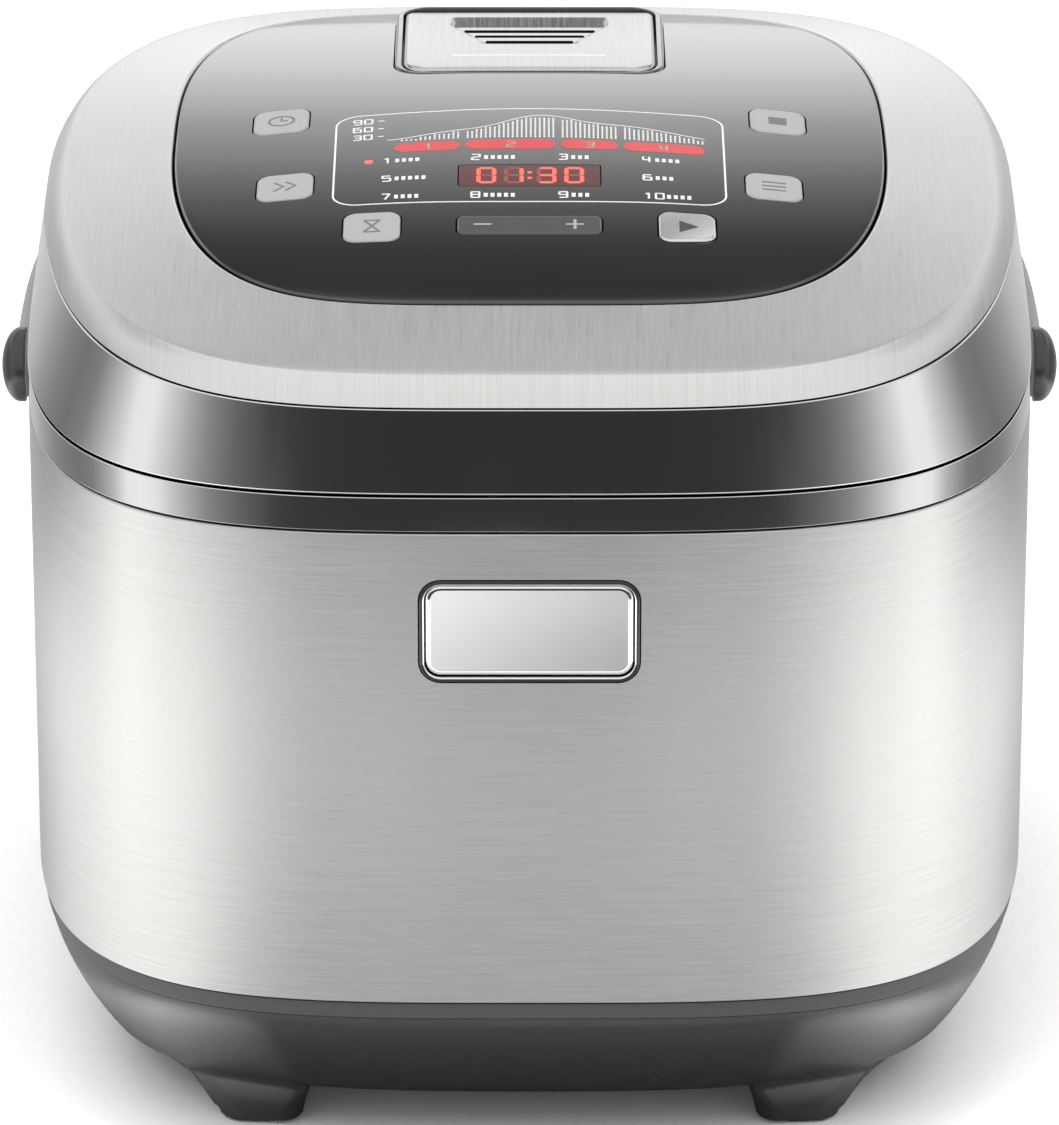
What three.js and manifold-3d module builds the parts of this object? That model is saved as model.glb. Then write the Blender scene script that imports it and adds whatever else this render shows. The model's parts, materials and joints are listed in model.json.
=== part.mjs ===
// A multi-cooker for rice: a steel-wrapped body on four feet, a domed lid on a rear hinge,
// an inner pot on a heater plate, and a bail handle stowed behind the body.
// Millimetres, +Z up, the front faces -Y.
import * as THREE from 'three';
import { mergeVertices } from 'three/addons/utils/BufferGeometryUtils.js';
import Module from 'manifold-3d';

const wasm = await Module();
wasm.setup();

// ---- Driving dimensions ----

// Body plan: a rounded rectangle whose front reaches further than its rear.
// Fullness is a superellipse's power: 2 is round, and more is squarer.
const bodyHalfWidth = 142.5;
const frontReach = 165;
const rearReach = 150;
const bodySideFullness = 3.7;
const bodyEndFullness = 4;

// Heights, from the table up
const padHeight = 2.6;
const footHeight = 11.7;
const bowlHeight = 38.5;
const trimHeight = 5.5;
const shellHeight = 143;
const collarHeight = 10.8;
const lidGap = 0.7;
const bandHeight = 26;
const coverSeam = 0.6;
const skirtRise = 7.5;
const crownRise = 13.2;
const crownFullness = 1.6;

// Walls
const plasticWall = 2.5;
const shellWall = 1;
const sheetWall = 1.2;
const boardThickness = 1.6;

// Clearances
const seat = 0.3;
const running = 0.4;

// Base bowl
const bowlStep = 1.5;
const bowlSideTuck = 16.4;
const bowlFrontTuck = 27.6;
const bowlFullness = 1.36;
const floorSideFullness = 2.9;
const floorEndFullness = 5;
const trimStep = 1;
const trimLedge = 5;

// Cover plan, where the band ends and the brushed cover starts: the band leans in to it
const coverSideStep = 3.8;
const coverRearStep = 21;
const coverSideFullness = 4.1;
const coverFrontFullness = 2.23;
const coverRearFullness = 2.5;
const skirtInset = 5.5;
const skirtFullness = 1.5;

// Control panel plan and its fittings
const panelHalfWidth = 101.5;
const panelFront = 120.5;
const panelRear = 112;
const panelSideFullness = 4.5;
const panelFrontFullness = 2.25;
const panelRearFullness = 3;
const panelGap = 0.6;
const panelProud = 0.2;
const buttonWidth = 16;
const buttonDepth = 18;
const buttonCorner = 4;
const buttonProud = 0.6;
const buttonTravel = 0.7;
const stemRadius = 2.4;
const outerButtonX = 71.3;
const middleButtonX = 69;
const innerButtonX = 44;
const backButtonY = 6;
const middleButtonY = -44;
const frontButtonY = -75.2;
const rockerLength = 40.5;
const rockerDepth = 11;
const rockerCorner = 2.5;
const lensWidth = 40;
const lensDepth = 14;
const lensY = -43;
const moduleMargin = 4;
const lidBoardDrop = 16;
const lidBoardSide = 20;
const lidBoardFront = 11;
const lidBoardBack = 28;
const postRadius = 3;

// Steam vent
const ventWidth = 79;
const ventDepth = 66;
const ventY = 71.5;
const ventCorner = 9;
const ventProud = 1.2;
const ventDish = 12;
const capProud = 0.9;
const capWall = 2.2;
const capGap = 0.5;
const slotWidths = [52, 45, 38];
const slotPitch = 7;
const slotDepth = 2.6;
const tubeRadius = 11;
const tubeBore = 7;

// Pot, well and heater
const potRadius = 113;
const potWall = 2.2;
const potBottom = 3;
const potCorner = 35;
const potDepth = 136;
const flangeWidth = 8;
const flangeThickness = 2;
const wellClearance = 3;
const deckDrop = 5;
const linerLip = 8;
const linerShelf = 18;
const shelfAbovePad = 7;
const plateRim = 8;
const plateThickness = 12;
const elementRadius = 62;
const elementThickness = 4;
const sensorRadius = 15;
const sensorTravel = 3;
const holderDepth = 12;
const holderWall = 1.5;
const holderReach = 7.5;
const sensorSpringRadius = 9;
const sensorSpringRoom = 3;
const sensorThickness = 6;
const sensorStem = 4;
const springWire = 0.9;
const shieldDepth = 17;
const beltHeight = 40;
const beltThickness = 1.6;
const beltRise = 45;

// Inside the base
const standoffHeight = 6.5;
const boardWidth = 130;
const boardDepth = 64;
const boardY = -70;
const standoffRadius = 4;

// Front release button
const buttonFaceWidth = 57;
const buttonFaceHeight = 27;
const bezelRim = 1.4;
const bezelGap = 0.35;
const bezelFloor = 1.5;
const bezelCorner = 6;
const releaseDrop = 29;
const releaseThickness = 3;
const releaseTravel = 3;
const releaseSpringRoom = 3.6;
const releaseRecess = 0.4;
const stemHalfHeight = 1.5;
const stemHalfWidth = 5;
const latchThickness = 3;
const latchHalfWidth = 8;
const latchArm = 20;
const catchWindow = 6;
const catchThickness = 4;
const catchHalfWidth = 11;
const latchPinRadius = 1.5;
const latchEar = 3;
const earRoom = 1.6;

// Handle
const pivotY = 0;
const pivotDrop = 30.2;
const washerThickness = 2;
const armThickness = 4;
const armHeight = 12;
const bailRearFullness = 3;
const eyeRadius = 9.4;
const capRadius = 10.85;
const capThickness = 4;
const capSkirt = 3;
const studRadius = 4;
const gripReach = 184;
const gripLength = 120;
const gripHeight = 20;
const gripThickness = 13;

// Hinge
const hingeOffset = 9;
const hingeDrop = 6.5;
const barrelRadius = 6;
const hingePinRadius = 2.5;
const barrelOuter = 34;
const barrelInner = 20;
const earThickness = 10;
const hingePlate = 3;
const hingePlateDrop = 20;
const armRise = 16;
const armBack = 5;
const armLift = 0.5;

// Power inlet
const inletWidth = 34;
const inletHeight = 26;
const inletZ = 84;
const inletWall = 2.5;
const inletRoom = 9;
const inletFlange = 4;
const pinRadius = 2;
const pinSpacing = 7;

// Lid inside
const innerLidRadius = 113;
const gasketReach = 6.5;
const gasketLip = 4;
const gasketLipHeight = 1.3;
const lidHeaterRadius = 108;
const lidFrameHole = 104;

// ---- Levels that follow ----

const floorZ = padHeight + footHeight;
const trimZ = floorZ + bowlHeight;
const shellZ = trimZ + trimHeight;
const collarZ = shellZ + shellHeight;
const rimZ = collarZ + collarHeight;
const lidZ = rimZ + lidGap;
const coverZ = lidZ + bandHeight;
const shoulderZ = coverZ + skirtRise;
const deckZ = rimZ - deckDrop;
const potTopZ = deckZ + seat + flangeThickness;
const potBottomZ = potTopZ - potDepth;
const plateTopZ = potBottomZ - seat;
const shelfZ = plateTopZ - shelfAbovePad;
const wellRadius = potRadius + wellClearance;
const sensorTopZ = plateTopZ;

// ---- Geometry helpers ----

const turnSteps = 40;
const roundSteps = 32;

function signedVolume(points, faces) {
  let volume = 0;
  for (const [a, b, c] of faces) {
    volume += points[a].dot(new THREE.Vector3().crossVectors(points[b], points[c]));
  }
  return volume / 6;
}

// A manifold solid from any closed three.js geometry.
function solidOf(geometry) {
  const mergeDistance = 1e-4;
  const bare = geometry.clone();
  bare.deleteAttribute('normal');
  bare.deleteAttribute('uv');
  const merged = mergeVertices(bare, mergeDistance);
  const corners = merged.index.array;
  const kept = [];
  for (let i = 0; i < corners.length; i += 3) {
    const [a, b, c] = [corners[i], corners[i + 1], corners[i + 2]];
    if (a !== b && b !== c && a !== c) kept.push(a, b, c);
  }
  const mesh = new wasm.Mesh({
    numProp: 3,
    vertProperties: new Float32Array(merged.attributes.position.array),
    triVerts: new Uint32Array(kept),
  });
  return new wasm.Manifold(mesh);
}

function geometryOf(solid) {
  const mesh = solid.getMesh();
  const geometry = new THREE.BufferGeometry();
  geometry.setAttribute('position', new THREE.BufferAttribute(mesh.vertProperties, 3));
  geometry.setIndex(new THREE.BufferAttribute(mesh.triVerts, 1));
  geometry.computeVertexNormals();
  return geometry;
}

const join = (...solids) => solids.reduce((whole, part) => whole.add(part));
const cut = (solid, ...tools) => tools.reduce((whole, tool) => whole.subtract(tool), solid);

// Rings of equal length, joined one to the next, then capped or closed on the first ring.
function ringSolid(rings, closed = false) {
  const count = rings[0].length;
  const points = rings.flat();
  const faces = [];
  const last = closed ? rings.length : rings.length - 1;
  for (let k = 0; k < last; k++) {
    const low = k * count;
    const high = ((k + 1) % rings.length) * count;
    for (let i = 0; i < count; i++) {
      const j = (i + 1) % count;
      faces.push([low + i, low + j, high + j], [low + i, high + j, high + i]);
    }
  }
  if (!closed) {
    for (const [start, flip] of [[0, true], [(rings.length - 1) * count, false]]) {
      const ring = points.slice(start, start + count);
      const middle = ring.reduce((sum, p) => sum.add(p), new THREE.Vector3()).divideScalar(count);
      const hub = points.push(middle) - 1;
      for (let i = 0; i < count; i++) {
        const j = (i + 1) % count;
        faces.push(flip ? [hub, start + j, start + i] : [hub, start + i, start + j]);
      }
    }
  }
  if (signedVolume(points, faces) < 0) faces.forEach((face) => face.reverse());
  const places = points.flatMap((p) => p.toArray());
  const geometry = new THREE.BufferGeometry();
  geometry.setAttribute('position', new THREE.Float32BufferAttribute(places, 3));
  geometry.setIndex(faces.flat());
  return solidOf(geometry);
}

// A superellipse plan with its own reach and fullness to the front and to the rear.
function plan(half, front, rear, sideFullness, frontFullness, rearFullness = frontFullness) {
  return { half, front, rear, sideFullness, frontFullness, rearFullness };
}

function shrink(shape, side, front = side, rear = front) {
  return { ...shape, half: shape.half - side, front: shape.front - front, rear: shape.rear - rear };
}

// Distance from the plan's centre to its outline in one direction.
function reachAt(shape, angle) {
  const across = Math.abs(Math.cos(angle)) / shape.half;
  const toRear = Math.sin(angle) >= 0;
  const along = Math.abs(Math.sin(angle)) / (toRear ? shape.rear : shape.front);
  const endFullness = toRear ? shape.rearFullness : shape.frontFullness;
  let low = 0;
  let high = shape.half + shape.front + shape.rear;
  for (let i = 0; i < 45; i++) {
    const middle = (low + high) / 2;
    const value = (middle * across) ** shape.sideFullness + (middle * along) ** endFullness;
    if (value > 1) high = middle;
    else low = middle;
  }
  return low;
}

// The outline as a ring of points; height is a number or a function of x and y.
function outline(shape, height, scale = 1) {
  return Array.from({ length: turnSteps }, (_, i) => {
    const angle = (i * 2 * Math.PI) / turnSteps;
    const radius = reachAt(shape, angle) * scale;
    const x = radius * Math.cos(angle);
    const y = radius * Math.sin(angle);
    return new THREE.Vector3(x, y, typeof height === 'number' ? height : height(x, y));
  });
}

const prism = (shape, low, high) => ringSolid([outline(shape, low), outline(shape, high)]);

function box(x0, x1, y0, y1, z0, z1) {
  const geometry = new THREE.BoxGeometry(x1 - x0, y1 - y0, z1 - z0);
  return solidOf(geometry.translate((x0 + x1) / 2, (y0 + y1) / 2, (z0 + z1) / 2));
}

// A round bar from one point to another.
function rod(radius, from, to, sides = 16) {
  const start = new THREE.Vector3(...from);
  const span = new THREE.Vector3(...to).sub(start);
  const geometry = new THREE.CylinderGeometry(radius, radius, span.length(), sides);
  const upright = new THREE.Vector3(0, 1, 0);
  const turn = new THREE.Quaternion().setFromUnitVectors(upright, span.clone().normalize());
  const middle = start.addScaledVector(span, 0.5);
  return solidOf(geometry.applyQuaternion(turn).translate(middle.x, middle.y, middle.z));
}

// A turned piece about an upright axis, from [radius, z] pairs.
function turned(profile, x = 0, y = 0, steps = roundSteps) {
  const onAxis = profile[0][0] === 0 && profile[profile.length - 1][0] === 0;
  const closed = onAxis ? profile : [...profile, profile[0]];
  const geometry = new THREE.LatheGeometry(closed.map(([r, z]) => new THREE.Vector2(r, z)), steps);
  const solid = solidOf(geometry.rotateX(Math.PI / 2));
  const upright = solid.volume() < 0 ? solidOf(flipped(geometry)) : solid;
  return upright.translate([x, y, 0]);
}

function flipped(geometry) {
  const turnedOver = geometry.clone();
  const corners = turnedOver.index.array;
  for (let i = 0; i < corners.length; i += 3) {
    [corners[i], corners[i + 1]] = [corners[i + 1], corners[i]];
  }
  return turnedOver;
}

const ring = (inner, outer, low, high, x = 0, y = 0, steps = roundSteps) =>
  turned([[inner, low], [outer, low], [outer, high], [inner, high]], x, y, steps);

const disc = (radius, low, high) => turned([[0, low], [radius, low], [radius, high], [0, high]]);

// A rounded rectangle about the origin, each corner an arc of equal steps.
function roundedPoints(width, depth, corner) {
  const arcSteps = 3;
  const quarters = [[1, -1], [1, 1], [-1, 1], [-1, -1]];
  return quarters.flatMap(([sx, sy], quarter) => Array.from({ length: arcSteps + 1 }, (_, i) => {
    const angle = (quarter - 1 + i / arcSteps) * (Math.PI / 2);
    return new THREE.Vector2(
      sx * (width / 2 - corner) + corner * Math.cos(angle),
      sy * (depth / 2 - corner) + corner * Math.sin(angle),
    );
  }));
}

const roundedRect = (...sizes) => new THREE.Shape(roundedPoints(...sizes));

// A flat shape raised along Z.
function raised(shape, low, high, x = 0, y = 0) {
  const geometry = new THREE.ExtrudeGeometry(shape, { depth: high - low, bevelEnabled: false });
  return solidOf(geometry.translate(x, y, low));
}

// A flat shape drawn in X and Z, run along Y from front to back.
function pushed(shape, front, back, x = 0, z = 0) {
  const geometry = new THREE.ExtrudeGeometry(shape, { depth: back - front, bevelEnabled: false });
  return solidOf(geometry.rotateX(Math.PI / 2).translate(x, back, z));
}

// A side profile given as [y, z] pairs, run along X from left to right.
function sideways(profile, left, right) {
  const shape = new THREE.Shape(profile.map(([y, z]) => new THREE.Vector2(y, z)));
  const geometry = new THREE.ExtrudeGeometry(shape, { depth: right - left, bevelEnabled: false });
  geometry.applyMatrix4(new THREE.Matrix4().makeBasis(
    new THREE.Vector3(0, 1, 0), new THREE.Vector3(0, 0, 1), new THREE.Vector3(1, 0, 0)));
  return solidOf(geometry.translate(left, 0, 0));
}

// A rounded block whose top and bottom follow a height function.
function pillow(width, depth, corner, x, y, bottom, top) {
  const points = roundedPoints(width, depth, corner);
  const at = (height) => points.map((p) => new THREE.Vector3(x + p.x, y + p.y, height(x + p.x, y + p.y)));
  return ringSolid([at(bottom), at(top)]);
}

// A coil spring along any axis, drawn as a wire helix with closed ends.
function coil(radius, length, turns, wire, place) {
  class Helix extends THREE.Curve {
    getPoint(t, target = new THREE.Vector3()) {
      const angle = 2 * Math.PI * turns * t;
      return target.set(radius * Math.cos(angle), radius * Math.sin(angle), length * t);
    }
  }
  const wireShape = new THREE.Shape();
  wireShape.absarc(0, 0, wire / 2, 0, 2 * Math.PI);
  const geometry = new THREE.ExtrudeGeometry(wireShape, {
    extrudePath: new Helix(), steps: Math.round(turns * 8), bevelEnabled: false, curveSegments: 2,
  });
  return solidOf(geometry.applyMatrix4(place));
}

// ---- Materials ----

const brushedSteel = { color: 0xc4c4c4, roughness: 0.35, metalness: 0.9 };
const darkChrome = { color: 0x8a8a8a, roughness: 0.12, metalness: 0.9 };
const brightChrome = { color: 0xe2e2e2, roughness: 0.1, metalness: 1 };
const blackGloss = { color: 0x1b1b1b, roughness: 0.08, metalness: 0 };
const basePlastic = { color: 0x3a3a39, roughness: 0.35, metalness: 0 };
const greyPlastic = { color: 0xa8a8a6, roughness: 0.4, metalness: 0 };
const palePlastic = { color: 0xb9b9b7, roughness: 0.4, metalness: 0 };
const rubber = { color: 0x2a2a2a, roughness: 0.85, metalness: 0 };
const silicone = { color: 0xd8d8d4, roughness: 0.6, metalness: 0 };
const aluminium = { color: 0xb8b8b8, roughness: 0.4, metalness: 0.9 };
const darkCoating = { color: 0x3b3b3d, roughness: 0.45, metalness: 0.1 };
const plainSteel = { color: 0x9a9a9a, roughness: 0.3, metalness: 0.9 };
const boardGreen = { color: 0x2c5a3a, roughness: 0.6, metalness: 0 };
const redLens = { color: 0x4a0d0d, roughness: 0.1, metalness: 0 };
const componentBlack = { color: 0x202020, roughness: 0.5, metalness: 0 };
const windingYellow = { color: 0xb08a3c, roughness: 0.6, metalness: 0.2 };

// ---- Scene ----

const group = new THREE.Group();

function add(name, solid, finish) {
  const mesh = new THREE.Mesh(geometryOf(solid), new THREE.MeshStandardMaterial(finish));
  mesh.name = name;
  group.add(mesh);
}

const bodyPlan = plan(bodyHalfWidth, frontReach, rearReach, bodySideFullness, bodyEndFullness);
const coverHalfWidth = bodyHalfWidth - coverSideStep;
const coverRear = rearReach - coverRearStep;
const coverPlan = plan(
  coverHalfWidth, frontReach, coverRear, coverSideFullness, coverFrontFullness, coverRearFullness);
const shoulderPlan = shrink(coverPlan, skirtInset);
const panelPlan = plan(
  panelHalfWidth, panelFront, panelRear, panelSideFullness, panelFrontFullness, panelRearFullness);

// The lid's crown over any point of the plan.
function domeHeight(x, y) {
  const share = Math.hypot(x, y) / reachAt(shoulderPlan, Math.atan2(y, x));
  return shoulderZ + crownRise * (1 - share ** crownFullness);
}

const domePlus = (rise) => (x, y) => domeHeight(x, y) + rise;

// ---- Base and feet ----

// The bowl's plan at a height: it tucks in towards the floor, more at the ends than at the sides.
function bowlPlan(height, wall = 0) {
  const down = THREE.MathUtils.clamp((trimZ - height) / bowlHeight, 0, 1) ** bowlFullness;
  const side = bowlStep + wall + bowlSideTuck * down;
  const end = bowlStep + wall + bowlFrontTuck * down;
  const ends = THREE.MathUtils.lerp(bodyEndFullness, floorEndFullness, down);
  const sideFullness = THREE.MathUtils.lerp(bodySideFullness, floorSideFullness, down);
  return { ...shrink(bodyPlan, side, end), sideFullness, frontFullness: ends, rearFullness: ends };
}

function bowlBlock(wall, low, high, steps) {
  const rings = Array.from({ length: steps + 1 }, (_, i) => {
    const height = THREE.MathUtils.lerp(low, high, i / steps);
    return outline(bowlPlan(height, wall), height);
  });
  return ringSolid(rings);
}

const boardZ = floorZ + plasticWall + standoffHeight;
const boardCorners = [[-1, -1], [1, -1], [1, 1], [-1, 1]].map(([sx, sy]) => [
  sx * (boardWidth / 2 - standoffRadius - 1),
  boardY + sy * (boardDepth / 2 - standoffRadius - 1),
]);

const foot = {
  top: [36, 28], bottom: [23, 18], corner: 6, lean: 3.5, inset: 46, offset: 80, rise: 9, padSize: 14,
};
const footPlaces = { front_left: [-1, -1], front_right: [1, -1], rear_left: [-1, 1], rear_right: [1, 1] };

function footCentre([sx, sy]) {
  return [sx * foot.offset, sy * ((sy < 0 ? frontReach : rearReach) - foot.inset)];
}

// A leg tapers from the bowl's wall to its pad and leans towards the middle.
function footBlock(place) {
  const [x, y] = footCentre(place);
  const ringAt = (size, shift, height) => roundedPoints(...size, foot.corner)
    .map((p) => new THREE.Vector3(x - place[0] * shift + p.x, y + p.y, height));
  const taper = ringSolid([
    ringAt(foot.bottom, foot.lean, padHeight),
    ringAt(foot.top, 0, floorZ),
    ringAt(foot.top, 0, floorZ + foot.rise),
  ]);
  return cut(taper, bowlBlock(plasticWall / 2, floorZ + plasticWall / 2, trimZ, 4));
}

function addBase() {
  const ventSlot = { width: 4, length: 46, pitch: 10, count: 7, y: 45 };
  const bowlInside = bowlBlock(plasticWall, floorZ + plasticWall, trimZ + 1, 4);
  let bowl = cut(bowlBlock(0, floorZ, trimZ, 5), bowlInside);
  for (const [x, y] of boardCorners) {
    bowl = join(bowl, rod(standoffRadius, [x, y, floorZ + 1], [x, y, boardZ], 12));
  }
  for (let i = 0; i < ventSlot.count; i++) {
    const x = (i - (ventSlot.count - 1) / 2) * ventSlot.pitch;
    const [left, right] = [x - ventSlot.width / 2, x + ventSlot.width / 2];
    const [near, far] = [ventSlot.y, ventSlot.y + ventSlot.length];
    bowl = cut(bowl, box(left, right, near, far, floorZ - 1, floorZ + plasticWall + 1));
  }
  bowl = join(bowl, ...Object.values(footPlaces).map(footBlock));
  add('base_housing', bowl, basePlastic);

  for (const [name, place] of Object.entries(footPlaces)) {
    const [x, y] = footCentre(place);
    const padShape = roundedRect(foot.padSize, foot.padSize, foot.corner - 1);
    add(`foot_pad_${name}`, raised(padShape, 0, padHeight, x - place[0] * foot.lean, y), rubber);
  }

  const trimOuter = shrink(bodyPlan, trimStep);
  const trimInner = shrink(trimOuter, trimLedge);
  const trimRings = [[trimOuter, trimZ], [trimOuter, shellZ], [trimInner, shellZ], [trimInner, trimZ]];
  add('base_trim', ringSolid(trimRings.map(([shape, z]) => outline(shape, z)), true), basePlastic);
}

// ---- Body shell, collar and well ----

const axisY = rearReach + hingeOffset;
const axisZ = rimZ - hingeDrop;
const pivotZ = rimZ - pivotDrop;
const releaseZ = collarZ - releaseDrop;
const bezelWidth = buttonFaceWidth + 2 * (bezelRim + bezelGap);
const bezelHeight = buttonFaceHeight + 2 * (bezelRim + bezelGap);
const buttonBackY = -frontReach + releaseRecess + releaseThickness;
const bezelFloorY = buttonBackY + releaseTravel + releaseSpringRoom + bezelFloor;
const latchY = bezelFloorY + seat + 0.7;
const latchPivotZ = releaseZ + latchArm;
const catchY = latchY + latchThickness + seat + 2;
const noseZ = deckZ - 4;

function addShell() {
  const shellInner = shrink(bodyPlan, shellWall);
  const rings = [[bodyPlan, shellZ], [bodyPlan, collarZ], [shellInner, collarZ], [shellInner, shellZ]];
  let shell = ringSolid(rings.map(([shape, z]) => outline(shape, z)), true);
  const releaseHole = roundedRect(bezelWidth + 2 * seat, bezelHeight + 2 * seat, bezelCorner + seat);
  const inletHole = roundedRect(inletWidth + 2 * seat, inletHeight + 2 * seat, 4);
  shell = cut(
    shell,
    pushed(releaseHole, -frontReach - 5, -frontReach + 10, 0, releaseZ),
    pushed(inletHole, rearReach - 10, rearReach + 5, 0, inletZ),
    rod(studRadius + seat, [-bodyHalfWidth - 5, pivotY, pivotZ], [bodyHalfWidth + 5, pivotY, pivotZ], 16),
  );
  add('outer_shell', shell, brushedSteel);
}

function addCollar() {
  const inner = shrink(bodyPlan, plasticWall);
  const deckLow = deckZ - plasticWall;
  const block = prism(bodyPlan, collarZ, rimZ);
  const above = prism(inner, deckZ, rimZ + 1);
  const below = prism(inner, collarZ - 1, deckLow);
  const wellHole = rod(wellRadius, [0, 0, collarZ - 1], [0, 0, rimZ + 1], roundSteps);
  // The lever swings forward in the narrow slot; the lid's catch comes down through the wide one.
  const slotRoom = 3;
  const [earNear, earFar] = [latchHalfWidth + running, latchHalfWidth + running + latchEar];
  const leverSlot = box(-earNear, earNear, latchY - slotRoom, catchY, deckLow - 1, deckZ + 1);
  const catchHalf = catchHalfWidth + slotRoom;
  const catchFar = catchY + catchThickness + slotRoom;
  const catchSlot = box(-catchHalf, catchHalf, catchY - seat, catchFar, deckLow - 1, deckZ + 1);
  let collar = cut(block, above, below, wellHole, leverSlot, catchSlot);
  // Ears under the deck carry the latch pin.
  const [earFront, earBack] = [latchY - earRoom, latchY + latchThickness + earRoom];
  for (const xs of [[-earFar, -earNear], [earNear, earFar]]) {
    collar = join(collar, box(...xs, earFront, earBack, latchPivotZ - latchEar - 1, deckLow + 1));
  }
  const pinY = latchY + latchThickness / 2;
  const pinHole = rod(latchPinRadius + seat, [-30, pinY, latchPivotZ], [30, pinY, latchPivotZ], 12);
  add('upper_collar', cut(collar, pinHole), darkChrome);
}

function addWell() {
  const outer = wellRadius + shellWall;
  const top = deckZ - plasticWall;
  const shelf = wellRadius - linerShelf;
  const shelfTop = shelfZ + shellWall;
  add('well_liner', turned([
    [shelf, shelfZ], [outer, shelfZ], [outer, top - shellWall], [outer + linerLip, top - shellWall],
    [outer + linerLip, top], [wellRadius, top], [wellRadius, shelfTop], [shelf, shelfTop],
  ]), aluminium);
  const beltLow = shelfZ + beltRise;
  const beltInner = outer + seat;
  const belt = ring(beltInner, beltInner + beltThickness, beltLow, beltLow + beltHeight);
  add('side_heater_belt', belt, silicone);
  const shieldTop = shelfZ;
  const shieldOuter = wellRadius - 8;
  add('heat_shield', turned([
    [24, shieldTop - shieldDepth], [shieldOuter, shieldTop - shieldDepth], [shieldOuter, shieldTop],
    [shieldOuter - shellWall, shieldTop], [shieldOuter - shellWall, shieldTop - shieldDepth + shellWall],
    [24, shieldTop - shieldDepth + shellWall],
  ]), plainSteel);
}

function addHeater() {
  const shelfHole = wellRadius - linerShelf;
  const plateRadius = shelfHole - 1;
  const flangeLow = shelfZ + shellWall + seat;
  const low = plateTopZ - plateThickness;
  const coneRadius = potRadius - potCorner;
  const bore = sensorRadius + 1;
  const plate = turned([
    [bore, low], [plateRadius, low], [plateRadius, flangeLow], [plateRadius + plateRim, flangeLow],
    [plateRadius + plateRim, flangeLow + 3], [plateRadius, plateTopZ - 1], [coneRadius + 8, plateTopZ],
    [bore, plateTopZ],
  ]);
  const grooveHalf = elementThickness + seat;
  const grooveTop = low + elementThickness;
  const groove = ring(elementRadius - grooveHalf, elementRadius + grooveHalf, low - 1, grooveTop);
  add('heater_plate', cut(plate, groove), aluminium);
  const element = ring(elementRadius - elementThickness, elementRadius + elementThickness,
    low - 1.5, low + elementThickness - seat);
  add('heating_element', element, plainSteel);

  const holderTop = low - seat;
  const holderFloor = holderTop - holderDepth;
  const holderInside = holderFloor + holderWall;
  const holderInner = sensorSpringRadius + sensorSpringRoom;
  const holderOuter = holderInner + holderWall;
  const flangeOuter = holderOuter + holderReach;
  add('sensor_holder', turned([
    [0, holderFloor], [holderOuter, holderFloor], [holderOuter, holderTop - holderWall],
    [flangeOuter, holderTop - holderWall], [flangeOuter, holderTop], [holderInner, holderTop],
    [holderInner, holderInside], [0, holderInside],
  ], 0, 0, 20), plainSteel);
  const discLow = sensorTopZ - sensorThickness;
  const stemLow = holderInside + sensorTravel + 1;
  add('pot_sensor', turned([
    [0, stemLow], [sensorStem, stemLow], [sensorStem, discLow],
    [sensorRadius, discLow], [sensorRadius, sensorTopZ - 1], [sensorRadius - 1, sensorTopZ], [0, sensorTopZ],
  ], 0, 0, 20), aluminium);
  const springLow = holderInside + seat + springWire / 2;
  const springLength = discLow - seat - springWire / 2 - springLow;
  add('sensor_spring', coil(sensorSpringRadius, springLength, 4, springWire,
    new THREE.Matrix4().makeTranslation(0, 0, springLow)), plainSteel);
}

function addPot() {
  const inner = potRadius - potWall;
  const low = potBottomZ;
  const arcSteps = 4;
  const arc = (radius, centreR, centreZ) => Array.from({ length: arcSteps + 1 }, (_, i) => {
    const angle = -Math.PI / 2 + (i / arcSteps) * (Math.PI / 2);
    return [centreR + radius * Math.cos(angle), centreZ + radius * Math.sin(angle)];
  });
  const outerArc = arc(potCorner, potRadius - potCorner, low + potCorner);
  const innerRadius = potCorner - potWall;
  const innerArc = arc(innerRadius, potRadius - potCorner, low + potBottom + innerRadius).reverse();
  const flange = potRadius + flangeWidth;
  add('inner_pot', turned([
    [0, low], ...outerArc, [potRadius, potTopZ - flangeThickness], [flange, potTopZ - flangeThickness],
    [flange, potTopZ], [inner, potTopZ], ...innerArc, [0, low + potBottom],
  ]), darkCoating);
}

// ---- Electronics in the base, power inlet ----

function addElectronics() {
  const top = boardZ + boardThickness;
  const [halfWidth, halfDepth] = [boardWidth / 2, boardDepth / 2];
  const board = box(-halfWidth, halfWidth, boardY - halfDepth, boardY + halfDepth, boardZ, top);
  add('main_board', board, boardGreen);
  const transformer = { fromLeft: 12, width: 38, depth: 32, height: 15 };
  const relay = { fromRight: 29, width: 20, depth: 16, height: 15 };
  transformer.x = -halfWidth + transformer.fromLeft + transformer.width / 2;
  relay.x = halfWidth - relay.fromRight - relay.width / 2;
  for (const [name, item, finish] of [
    ['power_transformer', transformer, windingYellow],
    ['power_relay', relay, componentBlack],
  ]) {
    const [x0, x1] = [item.x - item.width / 2, item.x + item.width / 2];
    const [y0, y1] = [boardY - item.depth / 2, boardY + item.depth / 2];
    add(name, box(x0, x1, y0, y1, top, top + item.height), finish);
  }
}

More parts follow.
